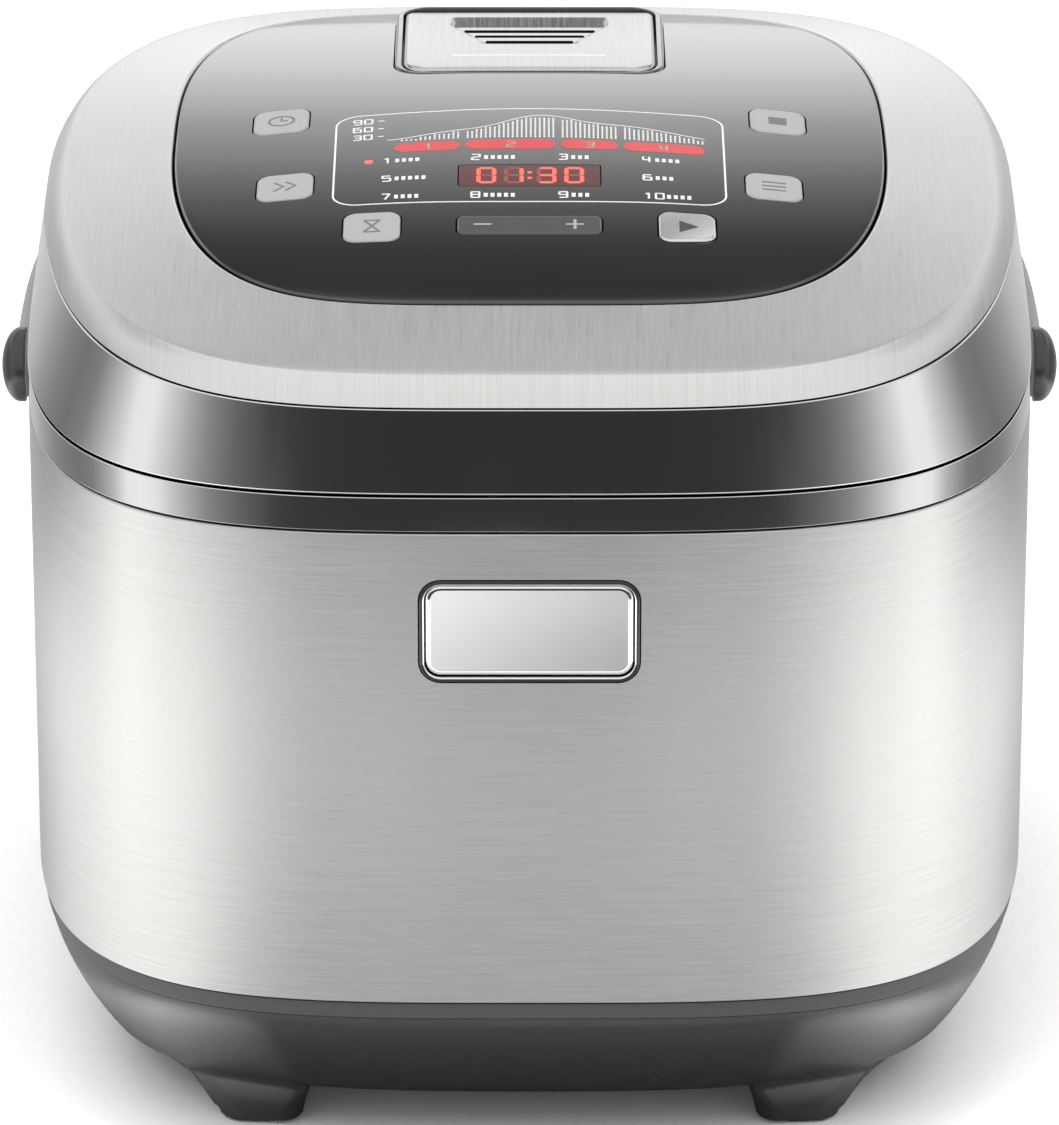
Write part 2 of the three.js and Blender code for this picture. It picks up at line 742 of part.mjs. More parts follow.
function addInlet() {
  const front = wellRadius + shellWall + inletRoom;
  const outside = rearReach + seat;
  const flangeShape = roundedRect(inletWidth + 2 * inletFlange, inletHeight + 2 * inletFlange, 5);
  const body = pushed(roundedRect(inletWidth, inletHeight, 4), front, outside, 0, inletZ);
  const flange = pushed(flangeShape, outside, outside + 2, 0, inletZ);
  const cavityShape = roundedRect(inletWidth - 2 * inletWall, inletHeight - 2 * inletWall, 3);
  const cavity = pushed(cavityShape, front + 4, outside + 3, 0, inletZ);
  let inlet = cut(join(body, flange), cavity);
  for (const [x, z] of [[-pinSpacing, -2], [0, 3], [pinSpacing, -2]]) {
    inlet = join(inlet, rod(pinRadius, [x, front + 2, inletZ + z], [x, outside - 4, inletZ + z], 10));
  }
  add('power_inlet', inlet, componentBlack);
}

// ---- Front release button and latch ----

function addRelease() {
  const frameShape = roundedRect(bezelWidth, bezelHeight, bezelCorner);
  const mouthShape = roundedRect(
    buttonFaceWidth + 2 * bezelGap, buttonFaceHeight + 2 * bezelGap, bezelCorner - bezelRim);
  const rimY = -frontReach - seat;
  const frame = pushed(frameShape, rimY, bezelFloorY, 0, releaseZ);
  const mouth = pushed(mouthShape, rimY - 1, bezelFloorY - bezelFloor, 0, releaseZ);
  const [holeX, holeZ] = [stemHalfWidth + seat, stemHalfHeight + seat];
  const stemHole = box(-holeX, holeX, bezelFloorY - 3, bezelFloorY + 1, releaseZ - holeZ, releaseZ + holeZ);
  add('release_bezel', cut(frame, mouth, stemHole), basePlastic);

  const buttonFront = buttonBackY - releaseThickness;
  const buttonShape = roundedRect(buttonFaceWidth, buttonFaceHeight, bezelCorner - bezelRim - bezelGap);
  const stem = box(-stemHalfWidth, stemHalfWidth, buttonBackY - 1, latchY - seat,
    releaseZ - stemHalfHeight, releaseZ + stemHalfHeight);
  const face = pushed(buttonShape, buttonFront, buttonBackY, 0, releaseZ);
  add('release_button', join(face, stem), brightChrome);

  const springRadius = 7.2;
  const wire = 0.7 * springWire;
  const springStart = buttonBackY + seat + wire / 2;
  const springLength = bezelFloorY - bezelFloor - seat - wire / 2 - springStart;
  const alongY = new THREE.Matrix4().makeRotationX(-Math.PI / 2);
  alongY.setPosition(0, springStart, releaseZ);
  add('release_spring', coil(springRadius, springLength, 3, wire, alongY), plainSteel);
}

function addLatch() {
  const back = latchY + latchThickness;
  const pinY = latchY + latchThickness / 2;
  const blade = box(-latchHalfWidth, latchHalfWidth, latchY, back, releaseZ - 8, noseZ + 2);
  const across = (reach) => [[-reach, pinY, latchPivotZ], [reach, pinY, latchPivotZ]];
  const hub = rod(latchPinRadius + 2, ...across(latchHalfWidth));
  const nose = box(-latchHalfWidth + 2, latchHalfWidth - 2, back - 1, catchY - seat, noseZ - 2, noseZ + 2);
  const bore = rod(latchPinRadius + seat, ...across(2 * latchHalfWidth), 12);
  add('latch_lever', cut(join(blade, hub, nose), bore), plainSteel);
  add('latch_pin', rod(latchPinRadius, ...across(latchHalfWidth + running + latchEar), 12), plainSteel);
}

// ---- Hinge ----

const circlePoints = (radius, from, to, steps) => Array.from({ length: steps + 1 }, (_, i) => {
  const angle = THREE.MathUtils.lerp(from, to, i / steps);
  return [axisY + radius * Math.cos(angle), axisZ + radius * Math.sin(angle)];
});

function addHinge() {
  const plateBack = rearReach + seat;
  const plateFront = plateBack + hingePlate;
  const plateLow = axisZ - barrelRadius - hingePlateDrop;
  const plateTop = axisZ - barrelRadius - 1;
  const outer = barrelOuter + running + earThickness;
  let bracket = box(-outer, outer, plateBack, plateFront, plateLow, plateTop);
  const earProfile = [
    [plateBack, plateLow + 4], [plateFront + 1, plateLow + 4],
    ...circlePoints(barrelRadius, -Math.PI / 4, Math.PI * 0.75, 10), [plateBack, axisZ - 2],
  ];
  for (const side of [-1, 1]) {
    const near = barrelOuter + running;
    const xs = side < 0 ? [-outer, -near] : [near, outer];
    bracket = join(bracket, sideways(earProfile, ...xs));
  }
  const bore = rod(hingePinRadius + seat, [-90, axisY, axisZ], [90, axisY, axisZ], 16);
  add('hinge_bracket', cut(bracket, bore), basePlastic);
  add('hinge_pin', rod(hingePinRadius, [-outer, axisY, axisZ], [outer, axisY, axisZ], 16), plainSteel);
  const springHalf = barrelInner - running - springWire;
  const alongX = new THREE.Matrix4().makeRotationY(Math.PI / 2);
  alongX.setPosition(-springHalf, axisY, axisZ);
  add('lid_spring', coil(hingePinRadius + 1.6, 2 * springHalf, 8, 1.8, alongX), plainSteel);
}

// ---- Lid ----

// The band's plan between the body's outline below and the cover's outline above.
function bandRing(height, wall) {
  const share = (height - lidZ) / bandHeight;
  return Array.from({ length: turnSteps }, (_, i) => {
    const angle = (i * 2 * Math.PI) / turnSteps;
    const low = reachAt(shrink(bodyPlan, wall), angle);
    const high = reachAt(shrink(coverPlan, wall), angle);
    const radius = THREE.MathUtils.lerp(low, high, share);
    return new THREE.Vector3(radius * Math.cos(angle), radius * Math.sin(angle), height);
  });
}

const frameTop = lidZ + plasticWall;

function addLidBand() {
  const heights = [0, 1 / 3, 2 / 3, 1].map((share) => lidZ + share * (bandHeight - coverSeam));
  const outside = heights.map((height) => bandRing(height, 0));
  const inside = heights.map((height) => bandRing(height, plasticWall)).reverse();
  add('lid_band', ringSolid([...outside, ...inside], true), darkChrome);

  const frameRing = bandRing(frameTop, plasticWall + seat);
  const lowRing = frameRing.map((p) => new THREE.Vector3(p.x, p.y, lidZ));
  const hole = rod(lidFrameHole, [0, 0, lidZ - 1], [0, 0, frameTop + 1], roundSteps);
  add('lid_frame', cut(ringSolid([lowRing, frameRing]), hole), greyPlastic);
  const catchBack = catchY + catchThickness;
  const catchPlate = box(-catchHalfWidth, catchHalfWidth, catchY, catchBack, noseZ - catchWindow, lidZ);
  const window = box(-latchHalfWidth, latchHalfWidth, catchY - 1, catchBack + 1,
    noseZ - catchWindow / 2, noseZ + catchWindow / 2);
  add('lid_catch', cut(catchPlate, window), plainSteel);
}

function addLidCover() {
  const shares = [0.55, 0.8, 0.93, 1];
  const skirtShares = [0.25, 0.5, 0.75, 1];
  const domeRings = (wall) => shares.map((share) => outline(shrink(shoulderPlan, wall), 0, share)
    .map((p) => p.setZ(domeHeight(p.x, p.y) - wall)));
  const skirtRings = (wall) => skirtShares.map((share) => outline(
    shrink(shoulderPlan, wall - skirtInset * share),
    coverZ + (skirtRise - wall) * (1 - share ** skirtFullness),
  ));
  const outer = [...domeRings(0), ...skirtRings(0)];
  const inner = [...domeRings(sheetWall), ...skirtRings(sheetWall)].reverse();
  const opening = prism(shrink(panelPlan, -panelGap), coverZ - 5, shoulderZ + crownRise + 5);
  add('lid_cover', cut(ringSolid([...outer, ...inner]), opening), brushedSteel);
}

const panelTop = domePlus(panelProud);
const panelBottom = domePlus(panelProud - plasticWall);
const lidBoardZ = domeHeight(0, 0) - lidBoardDrop;
const keys = [
  { name: 'delay_button', x: -outerButtonX, y: backButtonY },
  { name: 'quick_button', x: -middleButtonX, y: middleButtonY },
  { name: 'time_button', x: -innerButtonX, y: frontButtonY },
  { name: 'start_button', x: innerButtonX, y: frontButtonY },
  { name: 'function_button', x: middleButtonX, y: middleButtonY },
  { name: 'cancel_button', x: outerButtonX, y: backButtonY },
];
const postX = outerButtonX + 13;
const boardPosts = [[-postX, -64], [postX, -64], [-postX, 24], [postX, 24]];

function addPanel() {
  const shares = [0.12, 0.45, 0.78, 1];
  const top = shares.map((share) => outline(panelPlan, panelTop, share));
  const bottom = shares.map((share) => outline(panelPlan, panelBottom, share)).reverse();
  const [low, high] = [coverZ, shoulderZ + crownRise + 5];
  let panel = ringSolid([...top, ...bottom]);
  const room = 2 * running;
  const keyHole = roundedRect(buttonWidth + room, buttonDepth + room, buttonCorner + running);
  for (const { x, y } of keys) {
    panel = cut(panel, raised(keyHole, low, high, x, y));
  }
  const rockerHole = roundedRect(rockerLength + room, rockerDepth + room, rockerCorner + running);
  const lensHole = roundedRect(lensWidth + 2 * seat, lensDepth + 2 * seat, 1);
  const ventHole = roundedRect(ventWidth + 2 * seat, ventDepth + 2 * seat, ventCorner + seat);
  panel = cut(
    panel,
    raised(rockerHole, low, high, 0, frontButtonY),
    raised(lensHole, low, high, 0, lensY),
    raised(ventHole, low, high, 0, ventY),
  );
  for (const [x, y] of boardPosts) {
    const [foot, head] = [lidBoardZ + boardThickness, domeHeight(x, y) - 1];
    panel = join(panel, rod(postRadius, [x, y, foot], [x, y, head], 12));
  }
  add('control_panel', panel, blackGloss);

  const lens = pillow(lensWidth, lensDepth, 0.8, 0, lensY, panelBottom, panelTop);
  add('display_lens', lens, redLens);
  const moduleBack = lensY + lensDepth / 2 + moduleMargin;
  const moduleFront = lensY - lensDepth / 2 - moduleMargin;
  const moduleHalf = lensWidth / 2 + moduleMargin;
  const moduleTop = domeHeight(0, moduleFront) + panelProud - plasticWall - seat;
  const boardTop = lidBoardZ + boardThickness;
  const [boardSide, boardFront] = [outerButtonX + lidBoardSide, frontButtonY - lidBoardFront];
  const boardBack = backButtonY + lidBoardBack;
  add('control_board', box(-boardSide, boardSide, boardFront, boardBack, lidBoardZ, boardTop), boardGreen);
  const module = box(-moduleHalf, moduleHalf, moduleFront, moduleBack, boardTop, moduleTop);
  add('display_module', module, componentBlack);
}

function addKeys() {
  const boardTop = lidBoardZ + boardThickness;
  for (const { name, x, y } of keys) {
    const cap = pillow(buttonWidth, buttonDepth, buttonCorner, x, y, domePlus(-4), domePlus(buttonProud));
    const stemFoot = boardTop + buttonTravel + seat;
    const stem = rod(stemRadius, [x, y, stemFoot], [x, y, domeHeight(x, y) - 3], 12);
    add(name, join(cap, stem), name === 'start_button' ? brightChrome : palePlastic);
  }
  const bar = pillow(rockerLength, rockerDepth, rockerCorner, 0, frontButtonY,
    domePlus(-3), domePlus(buttonProud));
  const postFoot = boardTop + seat;
  const postHead = domeHeight(0, frontButtonY) - 2;
  const post = rod(postRadius, [0, frontButtonY, postFoot], [0, frontButtonY, postHead], 12);
  add('adjust_rocker', join(bar, post), componentBlack);
}

function addVent() {
  const front = ventY - ventDepth / 2;
  const dishFloor = domeHeight(0, front) - ventDish;
  const low = () => dishFloor;
  const seatBlock = pillow(ventWidth, ventDepth, ventCorner, 0, ventY, low, domePlus(ventProud));
  const innerWidth = ventWidth - 2 * capWall;
  const innerDepth = ventDepth - 2 * capWall;
  const innerCorner = ventCorner - capWall;
  const hollowShape = roundedRect(innerWidth, innerDepth, innerCorner);
  const hollow = raised(hollowShape, dishFloor + capWall, dishFloor + 3 * ventDish, 0, ventY);
  const drain = rod(tubeBore, [0, ventY, dishFloor - 1], [0, ventY, dishFloor + 5], 24);
  add('vent_seat', cut(seatBlock, hollow, drain), basePlastic);

  const capLow = dishFloor + capWall + seat;
  const capTop = ventProud + capProud;
  const capBlock = (inset, bottom, top) => pillow(innerWidth - 2 * inset, innerDepth - 2 * inset,
    Math.max(innerCorner - inset, 1), 0, ventY, () => bottom, domePlus(top));
  let cap = cut(
    capBlock(capGap, capLow, capTop),
    capBlock(capGap + capWall, capLow - 1, capTop - capWall),
  );
  slotWidths.forEach((width, i) => {
    const y = ventY + slotPitch * (1 - i);
    const [near, far] = [y - slotDepth / 2, y + slotDepth / 2];
    cap = cut(cap, box(-width / 2, width / 2, near, far, capLow + 3, capLow + 3 * ventDish));
  });
  add('vent_cap', cap, brightChrome);

  const tubeLow = frameTop + sheetWall + seat;
  add('steam_tube', ring(tubeBore, tubeRadius, tubeLow, dishFloor - seat, 0, ventY, 24), silicone);
}

function addLidUnderside() {
  const heaterTop = frameTop + sheetWall;
  const steamHole = rod(tubeBore, [0, ventY, lidZ - 10], [0, ventY, heaterTop + 1], 16);
  add('lid_heater_plate', cut(disc(lidHeaterRadius, frameTop, heaterTop), steamHole), plainSteel);

  const plateTop = lidZ - seat;
  const plateLow = plateTop - sheetWall;
  const studHole = rod(5 + seat, [0, 0, plateLow - 1], [0, 0, plateTop + 1], 24);
  let lidPlate = cut(disc(innerLidRadius, plateLow, plateTop), studHole);
  const steamHoles = { count: 6, radius: 2.2, circle: 8 };
  for (let i = 0; i < steamHoles.count; i++) {
    const angle = (i * 2 * Math.PI) / steamHoles.count;
    const x = steamHoles.circle * Math.cos(angle);
    const y = ventY + steamHoles.circle * Math.sin(angle);
    lidPlate = cut(lidPlate, rod(steamHoles.radius, [x, y, plateLow - 1], [x, y, plateTop + 1], 10));
  }
  add('inner_lid_plate', lidPlate, aluminium);

  const lipTop = plateLow - seat;
  const lipLow = lipTop - gasketLipHeight;
  const wallInner = innerLidRadius + seat;
  add('inner_lid_gasket', turned([
    [innerLidRadius - gasketLip, lipLow], [innerLidRadius + gasketReach, lipLow],
    [innerLidRadius + gasketReach, plateTop], [wallInner, plateTop], [wallInner, lipTop],
    [innerLidRadius - gasketLip, lipTop],
  ]), silicone);
  add('plate_grommet', turned([
    [0, plateLow - 4], [9, plateLow - 4], [9, plateLow - seat], [5, plateLow - seat],
    [5, frameTop - seat], [0, frameTop - seat],
  ], 0, 0, 24), silicone);
}

function addHingeArm() {
  // The arm climbs from the barrel to the rear of the band.
  const bandSlope = coverRearStep / bandHeight;
  const bandAt = (height) => rearReach - bandSlope * (height - lidZ) + armLift;
  const armTop = lidZ + armRise;
  const shoulderReach = barrelRadius * Math.SQRT1_2;
  const profile = [
    [bandAt(lidZ + armLift), lidZ + armLift], [rearReach + hingePlate, axisZ], [axisY, axisZ],
    [axisY + shoulderReach, axisZ + shoulderReach], [bandAt(armTop) + armBack, armTop],
    [bandAt(armTop), armTop],
  ];
  const block = join(
    sideways(profile, -barrelOuter, barrelOuter),
    rod(barrelRadius, [-barrelOuter, axisY, axisZ], [barrelOuter, axisY, axisZ], 20),
  );
  const springSpace = rod(barrelRadius + 1, [-barrelInner, axisY, axisZ], [barrelInner, axisY, axisZ], 20);
  const bore = rod(hingePinRadius + seat, [-90, axisY, axisZ], [90, axisY, axisZ], 16);
  add('lid_hinge_arm', cut(block, springSpace, bore), basePlastic);
}

// ---- Handle ----

function addHandle() {
  const armInner = bodyHalfWidth + seat + washerThickness + seat;
  const armOuter = armInner + armThickness;
  const half = armHeight / 2;
  // The bail follows a plan curve of its own from pivot to pivot round the rear.
  const bailPlan = plan((armInner + armOuter) / 2, gripReach, gripReach, bodySideFullness, bailRearFullness);
  const strip = (halfThickness, halfHeight) => cut(
    prism(shrink(bailPlan, -halfThickness), pivotZ - halfHeight, pivotZ + halfHeight),
    prism(shrink(bailPlan, halfThickness), pivotZ - halfHeight - 1, pivotZ + halfHeight + 1),
  ).translate([0, pivotY, 0]);
  const wide = 2 * bodyHalfWidth;
  let bail = cut(strip(armThickness / 2, half), box(-wide, wide, pivotY - wide, pivotY, 0, wide));
  for (const side of [-1, 1]) {
    const [inside, outside] = [armInner, armOuter].map((x) => [side * x, pivotY, pivotZ]);
    bail = join(bail, rod(eyeRadius, inside, outside, 20));
  }
  const eye = rod(studRadius + seat, [-wide, pivotY, pivotZ], [wide, pivotY, pivotZ], 16);
  add('handle_bail', cut(bail, eye), greyPlastic);

  const gripHalf = gripLength / 2;
  const gripSpan = box(-gripHalf, gripHalf, pivotY, pivotY + wide, 0, wide);
  const grip = strip(gripThickness / 2, gripHeight / 2).intersect(gripSpan);
  add('handle_grip', cut(grip, strip(armThickness / 2 + seat, half + seat)), basePlastic);

  for (const [place, side] of [['left', -1], ['right', 1]]) {
    const capInner = armOuter;
    const skirt = eyeRadius + seat;
    const cap = turnedAcross(side, capInner, [
      [0, 0], [skirt, 0], [skirt, -capSkirt], [capRadius, -capSkirt], [capRadius, capThickness - 1.2],
      [capRadius - 1.2, capThickness], [0, capThickness],
    ]);
    const armWay = box(-wide, wide, pivotY, pivotY + wide, pivotZ - half - seat, pivotZ + half + seat);
    const inside = box(-capInner, capInner, pivotY - wide, pivotY + wide, 0, wide);
    add(`handle_cap_${place}`, cut(cap, armWay.intersect(inside)), basePlastic);
    const studTip = capInner - seat;
    const headInner = bodyHalfWidth - shellWall - seat;
    const shoulder = turnedAcross(side, bodyHalfWidth + seat, [
      [0, 0], [eyeRadius, 0], [eyeRadius, washerThickness], [0, washerThickness],
    ]);
    const stud = join(
      rod(studRadius, [side * (headInner - 1), pivotY, pivotZ], [side * studTip, pivotY, pivotZ], 16),
      rod(studRadius + 4, [side * (headInner - 3), pivotY, pivotZ], [side * headInner, pivotY, pivotZ], 20),
      shoulder,
    );
    add(`handle_stud_${place}`, stud, plainSteel);
  }
}

// A turned piece about the handle's pivot axis, its profile running outwards from one face.
function turnedAcross(side, from, profile) {
  const upright = turned(profile, 0, 0, 20);
  const outwards = side < 0 ? [0, -90, 0] : [0, 90, 0];
  return upright.rotate(outwards).translate([side * from, pivotY, pivotZ]);
}

addBase();
addShell();
addCollar();
addWell();
addHeater();
addPot();
addElectronics();
addInlet();
addRelease();
addLatch();
addHinge();
addLidBand();
addLidCover();
addPanel();
addKeys();
addVent();
addLidUnderside();
addHingeArm();
addHandle();

// The origin is the middle of the footprint: from the front wall to the back of the grip.
group.position.y = -(pivotY + gripReach + gripThickness / 2 - frontReach - seat) / 2;

export default group;
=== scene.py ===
# Looks for a rice cooker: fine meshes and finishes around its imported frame, +Z up.
# Shapes are worked out in millimetres and written to the meshes in metres.
import json
import math

import bmesh
import bpy
import numpy as np
from mathutils import Matrix, Vector


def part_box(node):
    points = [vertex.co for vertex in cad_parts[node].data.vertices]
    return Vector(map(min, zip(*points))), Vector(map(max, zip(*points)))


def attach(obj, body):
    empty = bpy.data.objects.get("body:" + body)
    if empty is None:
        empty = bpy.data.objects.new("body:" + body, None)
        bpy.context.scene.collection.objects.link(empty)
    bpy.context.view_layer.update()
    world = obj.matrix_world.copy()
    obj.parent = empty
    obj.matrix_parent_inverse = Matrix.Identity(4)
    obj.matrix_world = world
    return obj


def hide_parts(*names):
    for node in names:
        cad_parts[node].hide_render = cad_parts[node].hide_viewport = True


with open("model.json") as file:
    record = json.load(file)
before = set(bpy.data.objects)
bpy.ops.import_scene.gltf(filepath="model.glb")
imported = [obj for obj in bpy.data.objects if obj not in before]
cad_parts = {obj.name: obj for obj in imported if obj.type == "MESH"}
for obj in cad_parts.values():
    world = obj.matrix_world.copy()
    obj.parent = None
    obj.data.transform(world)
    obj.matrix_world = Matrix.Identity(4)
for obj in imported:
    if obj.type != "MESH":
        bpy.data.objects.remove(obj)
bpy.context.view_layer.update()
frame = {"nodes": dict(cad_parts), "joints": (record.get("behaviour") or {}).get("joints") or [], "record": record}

record = frame["record"]
bodyOf = {node: body for body, members in record["behaviour"]["bodies"].items() for node in members}
slotOf = {row["node"]: row["material_slot"] for row in record["subparts"]}
joints = {joint["name"]: joint for joint in frame["joints"]}
mm = 0.001
centreY = joints["handle_swing"]["pos_m"][1] / mm  # the middle of the body's plan

# Camera: a long lens from the front, a little above the lid
cameraSetup = {"distance": 2.5, "elevation": 24.26, "aimHeight": 0.1187, "lens": 272.6}


def linked(name, data):  # a new object in the scene
    made = bpy.data.objects.new(name, data)
    bpy.context.scene.collection.objects.link(made)
    return made


def placeCamera(setup):
    camera = linked("camera", bpy.data.cameras.new("camera"))
    camera.data.lens = setup["lens"]
    camera.data.clip_end = 60
    tilt = math.radians(setup["elevation"])
    back = Vector((0, -math.cos(tilt), math.sin(tilt)))
    camera.location = Vector((0, centreY * mm, setup["aimHeight"])) + setup["distance"] * back
    camera.rotation_euler = back.to_track_quat("Z", "Y").to_euler()
    bpy.context.scene.camera = camera


placeCamera(cameraSetup)
bpy.context.scene.view_settings.view_transform = "Standard"
print("camera in place")


def span(node):  # a node's lowest and highest corner, in millimetres
    low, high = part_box(node)
    return low / mm, high / mm


def middleOf(node):
    low, high = span(node)
    return (low.x + high.x) / 2, (low.y + high.y) / 2


def planOf(node, sideFullness, frontFullness, rearFullness):
    low, high = span(node)
    return {"half": high.x, "front": centreY - low.y, "rear": high.y - centreY,
            "side": sideFullness, "frontEnd": frontFullness, "rearEnd": rearFullness}


def shrunk(plan, side, end=None):
    end = side if end is None else end
    return {**plan, "half": plan["half"] - side, "front": plan["front"] - end, "rear": plan["rear"] - end}


def reach(plan, angles):  # distance from the plan's middle to its outline
    toRear = np.sin(angles) >= 0
    across = abs(np.cos(angles)) / plan["half"]
    along = abs(np.sin(angles)) / np.where(toRear, plan["rear"], plan["front"])
    power = np.where(toRear, plan["rearEnd"], plan["frontEnd"])
    low = np.zeros(np.shape(angles))
    high = low + plan["half"] + plan["front"] + plan["rear"]
    for _ in range(48):
        middle = (low + high) / 2
        outside = (middle * across) ** plan["side"] + (middle * along) ** power > 1
        low, high = np.where(outside, low, middle), np.where(outside, middle, high)
    return low


def evenAngles(plan, count):  # directions that step evenly along the outline, and how far round each is
    fine = np.linspace(-math.pi / 2, 1.5 * math.pi, 4001)
    radius = reach(plan, fine)
    steps = np.hypot(np.diff(radius * np.cos(fine)), np.diff(radius * np.sin(fine)))
    run = np.concatenate([[0], np.cumsum(steps)])
    return np.interp(np.arange(count) / count * run[-1], run, fine), (fine, run)


def ringAt(radius, height):
    across, along = radius * np.cos(turnAngles), centreY + radius * np.sin(turnAngles)
    if callable(height):
        height = height(across, along)
    return np.column_stack([across, along, np.broadcast_to(height, across.shape)])


def outline(plan, height):
    return ringAt(reach(plan, turnAngles), height)


def domeHeight(x, y):
    angles = np.arctan2(y - centreY, x)
    share = np.hypot(x, y - centreY) / reach(shoulderPlan, angles)
    # The ease keeps the crown from coming to a point
    eased = (share ** 2 + dome["ease"]) ** (dome["fullness"] / 2)
    return shoulderZ + dome["rise"] * (1 - eased + dome["ease"] * dome["fullness"] / 2)


def domeNormal(points, step=0.1):  # square to the dome
    x, y = points[:, 0], points[:, 1]
    slopeX = (domeHeight(x + step, y) - domeHeight(x - step, y)) / (2 * step)
    slopeY = (domeHeight(x, y + step) - domeHeight(x, y - step)) / (2 * step)
    return np.column_stack([-slopeX, -slopeY, np.ones(len(x))])


def wallNormal(points, plan):  # square to an upright wall of that plan
    x, y = points[:, 0], points[:, 1] - centreY
    end = np.where(y >= 0, plan["rear"], plan["front"])
    power = np.where(y >= 0, plan["rearEnd"], plan["frontEnd"])
    slopeX = plan["side"] / plan["half"] * (abs(x) / plan["half"]) ** (plan["side"] - 1) * np.sign(x)
    slopeY = power / end * (abs(y) / end) ** (power - 1) * np.sign(y)
    return np.column_stack([slopeX, slopeY, np.zeros(len(x))])


def softened(points, steps=4):  # a closed profile of (across, up, radius) corners, rounded
    made = []
    for i, (across, up, radius) in enumerate(points):
        here = Vector((across, up))
        if not radius:
            made.append((across, up))
            continue
        before = (Vector(points[i - 1][:2]) - here).normalized()
        after = (Vector(points[(i + 1) % len(points)][:2]) - here).normalized()
        half = before.angle(after) / 2
        centre = here + (before + after).normalized() * radius / math.sin(half)
        start = here + before * radius / math.tan(half) - centre
        stop = here + after * radius / math.tan(half) - centre
        turn = math.atan2(start.x * stop.y - start.y * stop.x, start.dot(stop))
        for k in range(steps + 1):
            angle = math.atan2(start.y, start.x) + turn * k / steps
            made.append((centre.x + radius * math.cos(angle), centre.y + radius * math.sin(angle)))
    return made


def roundedRect(width, depth, corner, steps=7):
    points = []
    for quarter, (sx, sy) in enumerate([(1, -1), (1, 1), (-1, 1), (-1, -1)]):
        for i in range(steps + 1):
            angle = (quarter - 1 + i / steps) * math.pi / 2
            points.append((sx * (width / 2 - corner) + corner * math.cos(angle),
                           sy * (depth / 2 - corner) + corner * math.sin(angle)))
    return np.array(points)


bodyPlan = planOf("outer_shell", 3.7, 4, 4)
coverPlan = planOf("lid_cover", 4.1, 2.23, 2.5)
panelPlan = planOf("control_panel", 4.5, 2.25, 3)
dome = {"skirtInset": 5.5, "skirtRise": 7.5, "rise": 13.2, "fullness": 1.6, "ease": 0.0169}
shoulderPlan = shrunk(coverPlan, dome["skirtInset"])
shoulderZ = span("lid_cover")[0].z + dome["skirtRise"]
turnAngles, arcTable = evenAngles(bodyPlan, 320)


def makeMesh(name, points, faces):  # from millimetres to metres, with its faces turned outward
    mesh = bpy.data.meshes.new(name)
    mesh.from_pydata([tuple(p) for p in np.asarray(points, float) * mm], [], faces)
    shape = bmesh.new()
    shape.from_mesh(mesh)
    bmesh.ops.recalc_face_normals(shape, faces=shape.faces)
    shape.to_mesh(mesh)
    shape.free()
    return linked(name, mesh)


def quarterTurn(steps):  # the falls of a quarter round, from its side to its top
    for angle in np.linspace(0, math.pi / 2, steps + 1):
        yield 1 - math.cos(angle), 1 - math.sin(angle)


def level(shape, x, y, height):  # a plan shape moved to a place at one height
    return np.column_stack([shape + np.array([x, y]), np.full(len(shape), height)])


def upright(shape, y, z):  # a shape across and up, stood in a plane of one y
    return np.column_stack([shape[:, 0], np.full(len(shape), y), z + shape[:, 1]])


def loft(name, rings, closed=True):  # joins ring to ring; the last meets the first, or both ends are capped
    count = len(rings[0])
    faces = []
    for k in range(len(rings) if closed else len(rings) - 1):
        low, high = k * count, (k + 1) % len(rings) * count
        faces += [(low + i, low + (i + 1) % count, high + (i + 1) % count, high + i) for i in range(count)]
    if not closed:
        faces += [tuple(range(count)), tuple(range((len(rings) - 1) * count, len(rings) * count))]
    return makeMesh(name, np.vstack(rings), faces)


def turned(name, profile, x=0, y=None, steps=144, closed=True):  # (radius, height) pairs about an upright axis
    y = centreY if y is None else y
    angles = np.arange(steps) * 2 * math.pi / steps
    rings = [np.column_stack([x + r * np.cos(angles), y + r * np.sin(angles), np.full(steps, z)])
             for r, z in profile]
    return loft(name, rings, closed)


def prism(name, shape, low, high):
    return loft(name, [level(shape, 0, 0, z) for z in (low, high)], closed=False)


def block(name, low, high):
    plan = [(low[0], low[1]), (high[0], low[1]), (high[0], high[1]), (low[0], high[1])]
    return prism(name, np.array(plan), low[2], high[2])


def layDown(made, origin, side):  # turns a shape built upright so that its up runs out to a side
    made.data.transform(Matrix.Translation(Vector(origin) * mm) @ Matrix.Rotation(side * math.pi / 2, 4, "Y"))
    return made


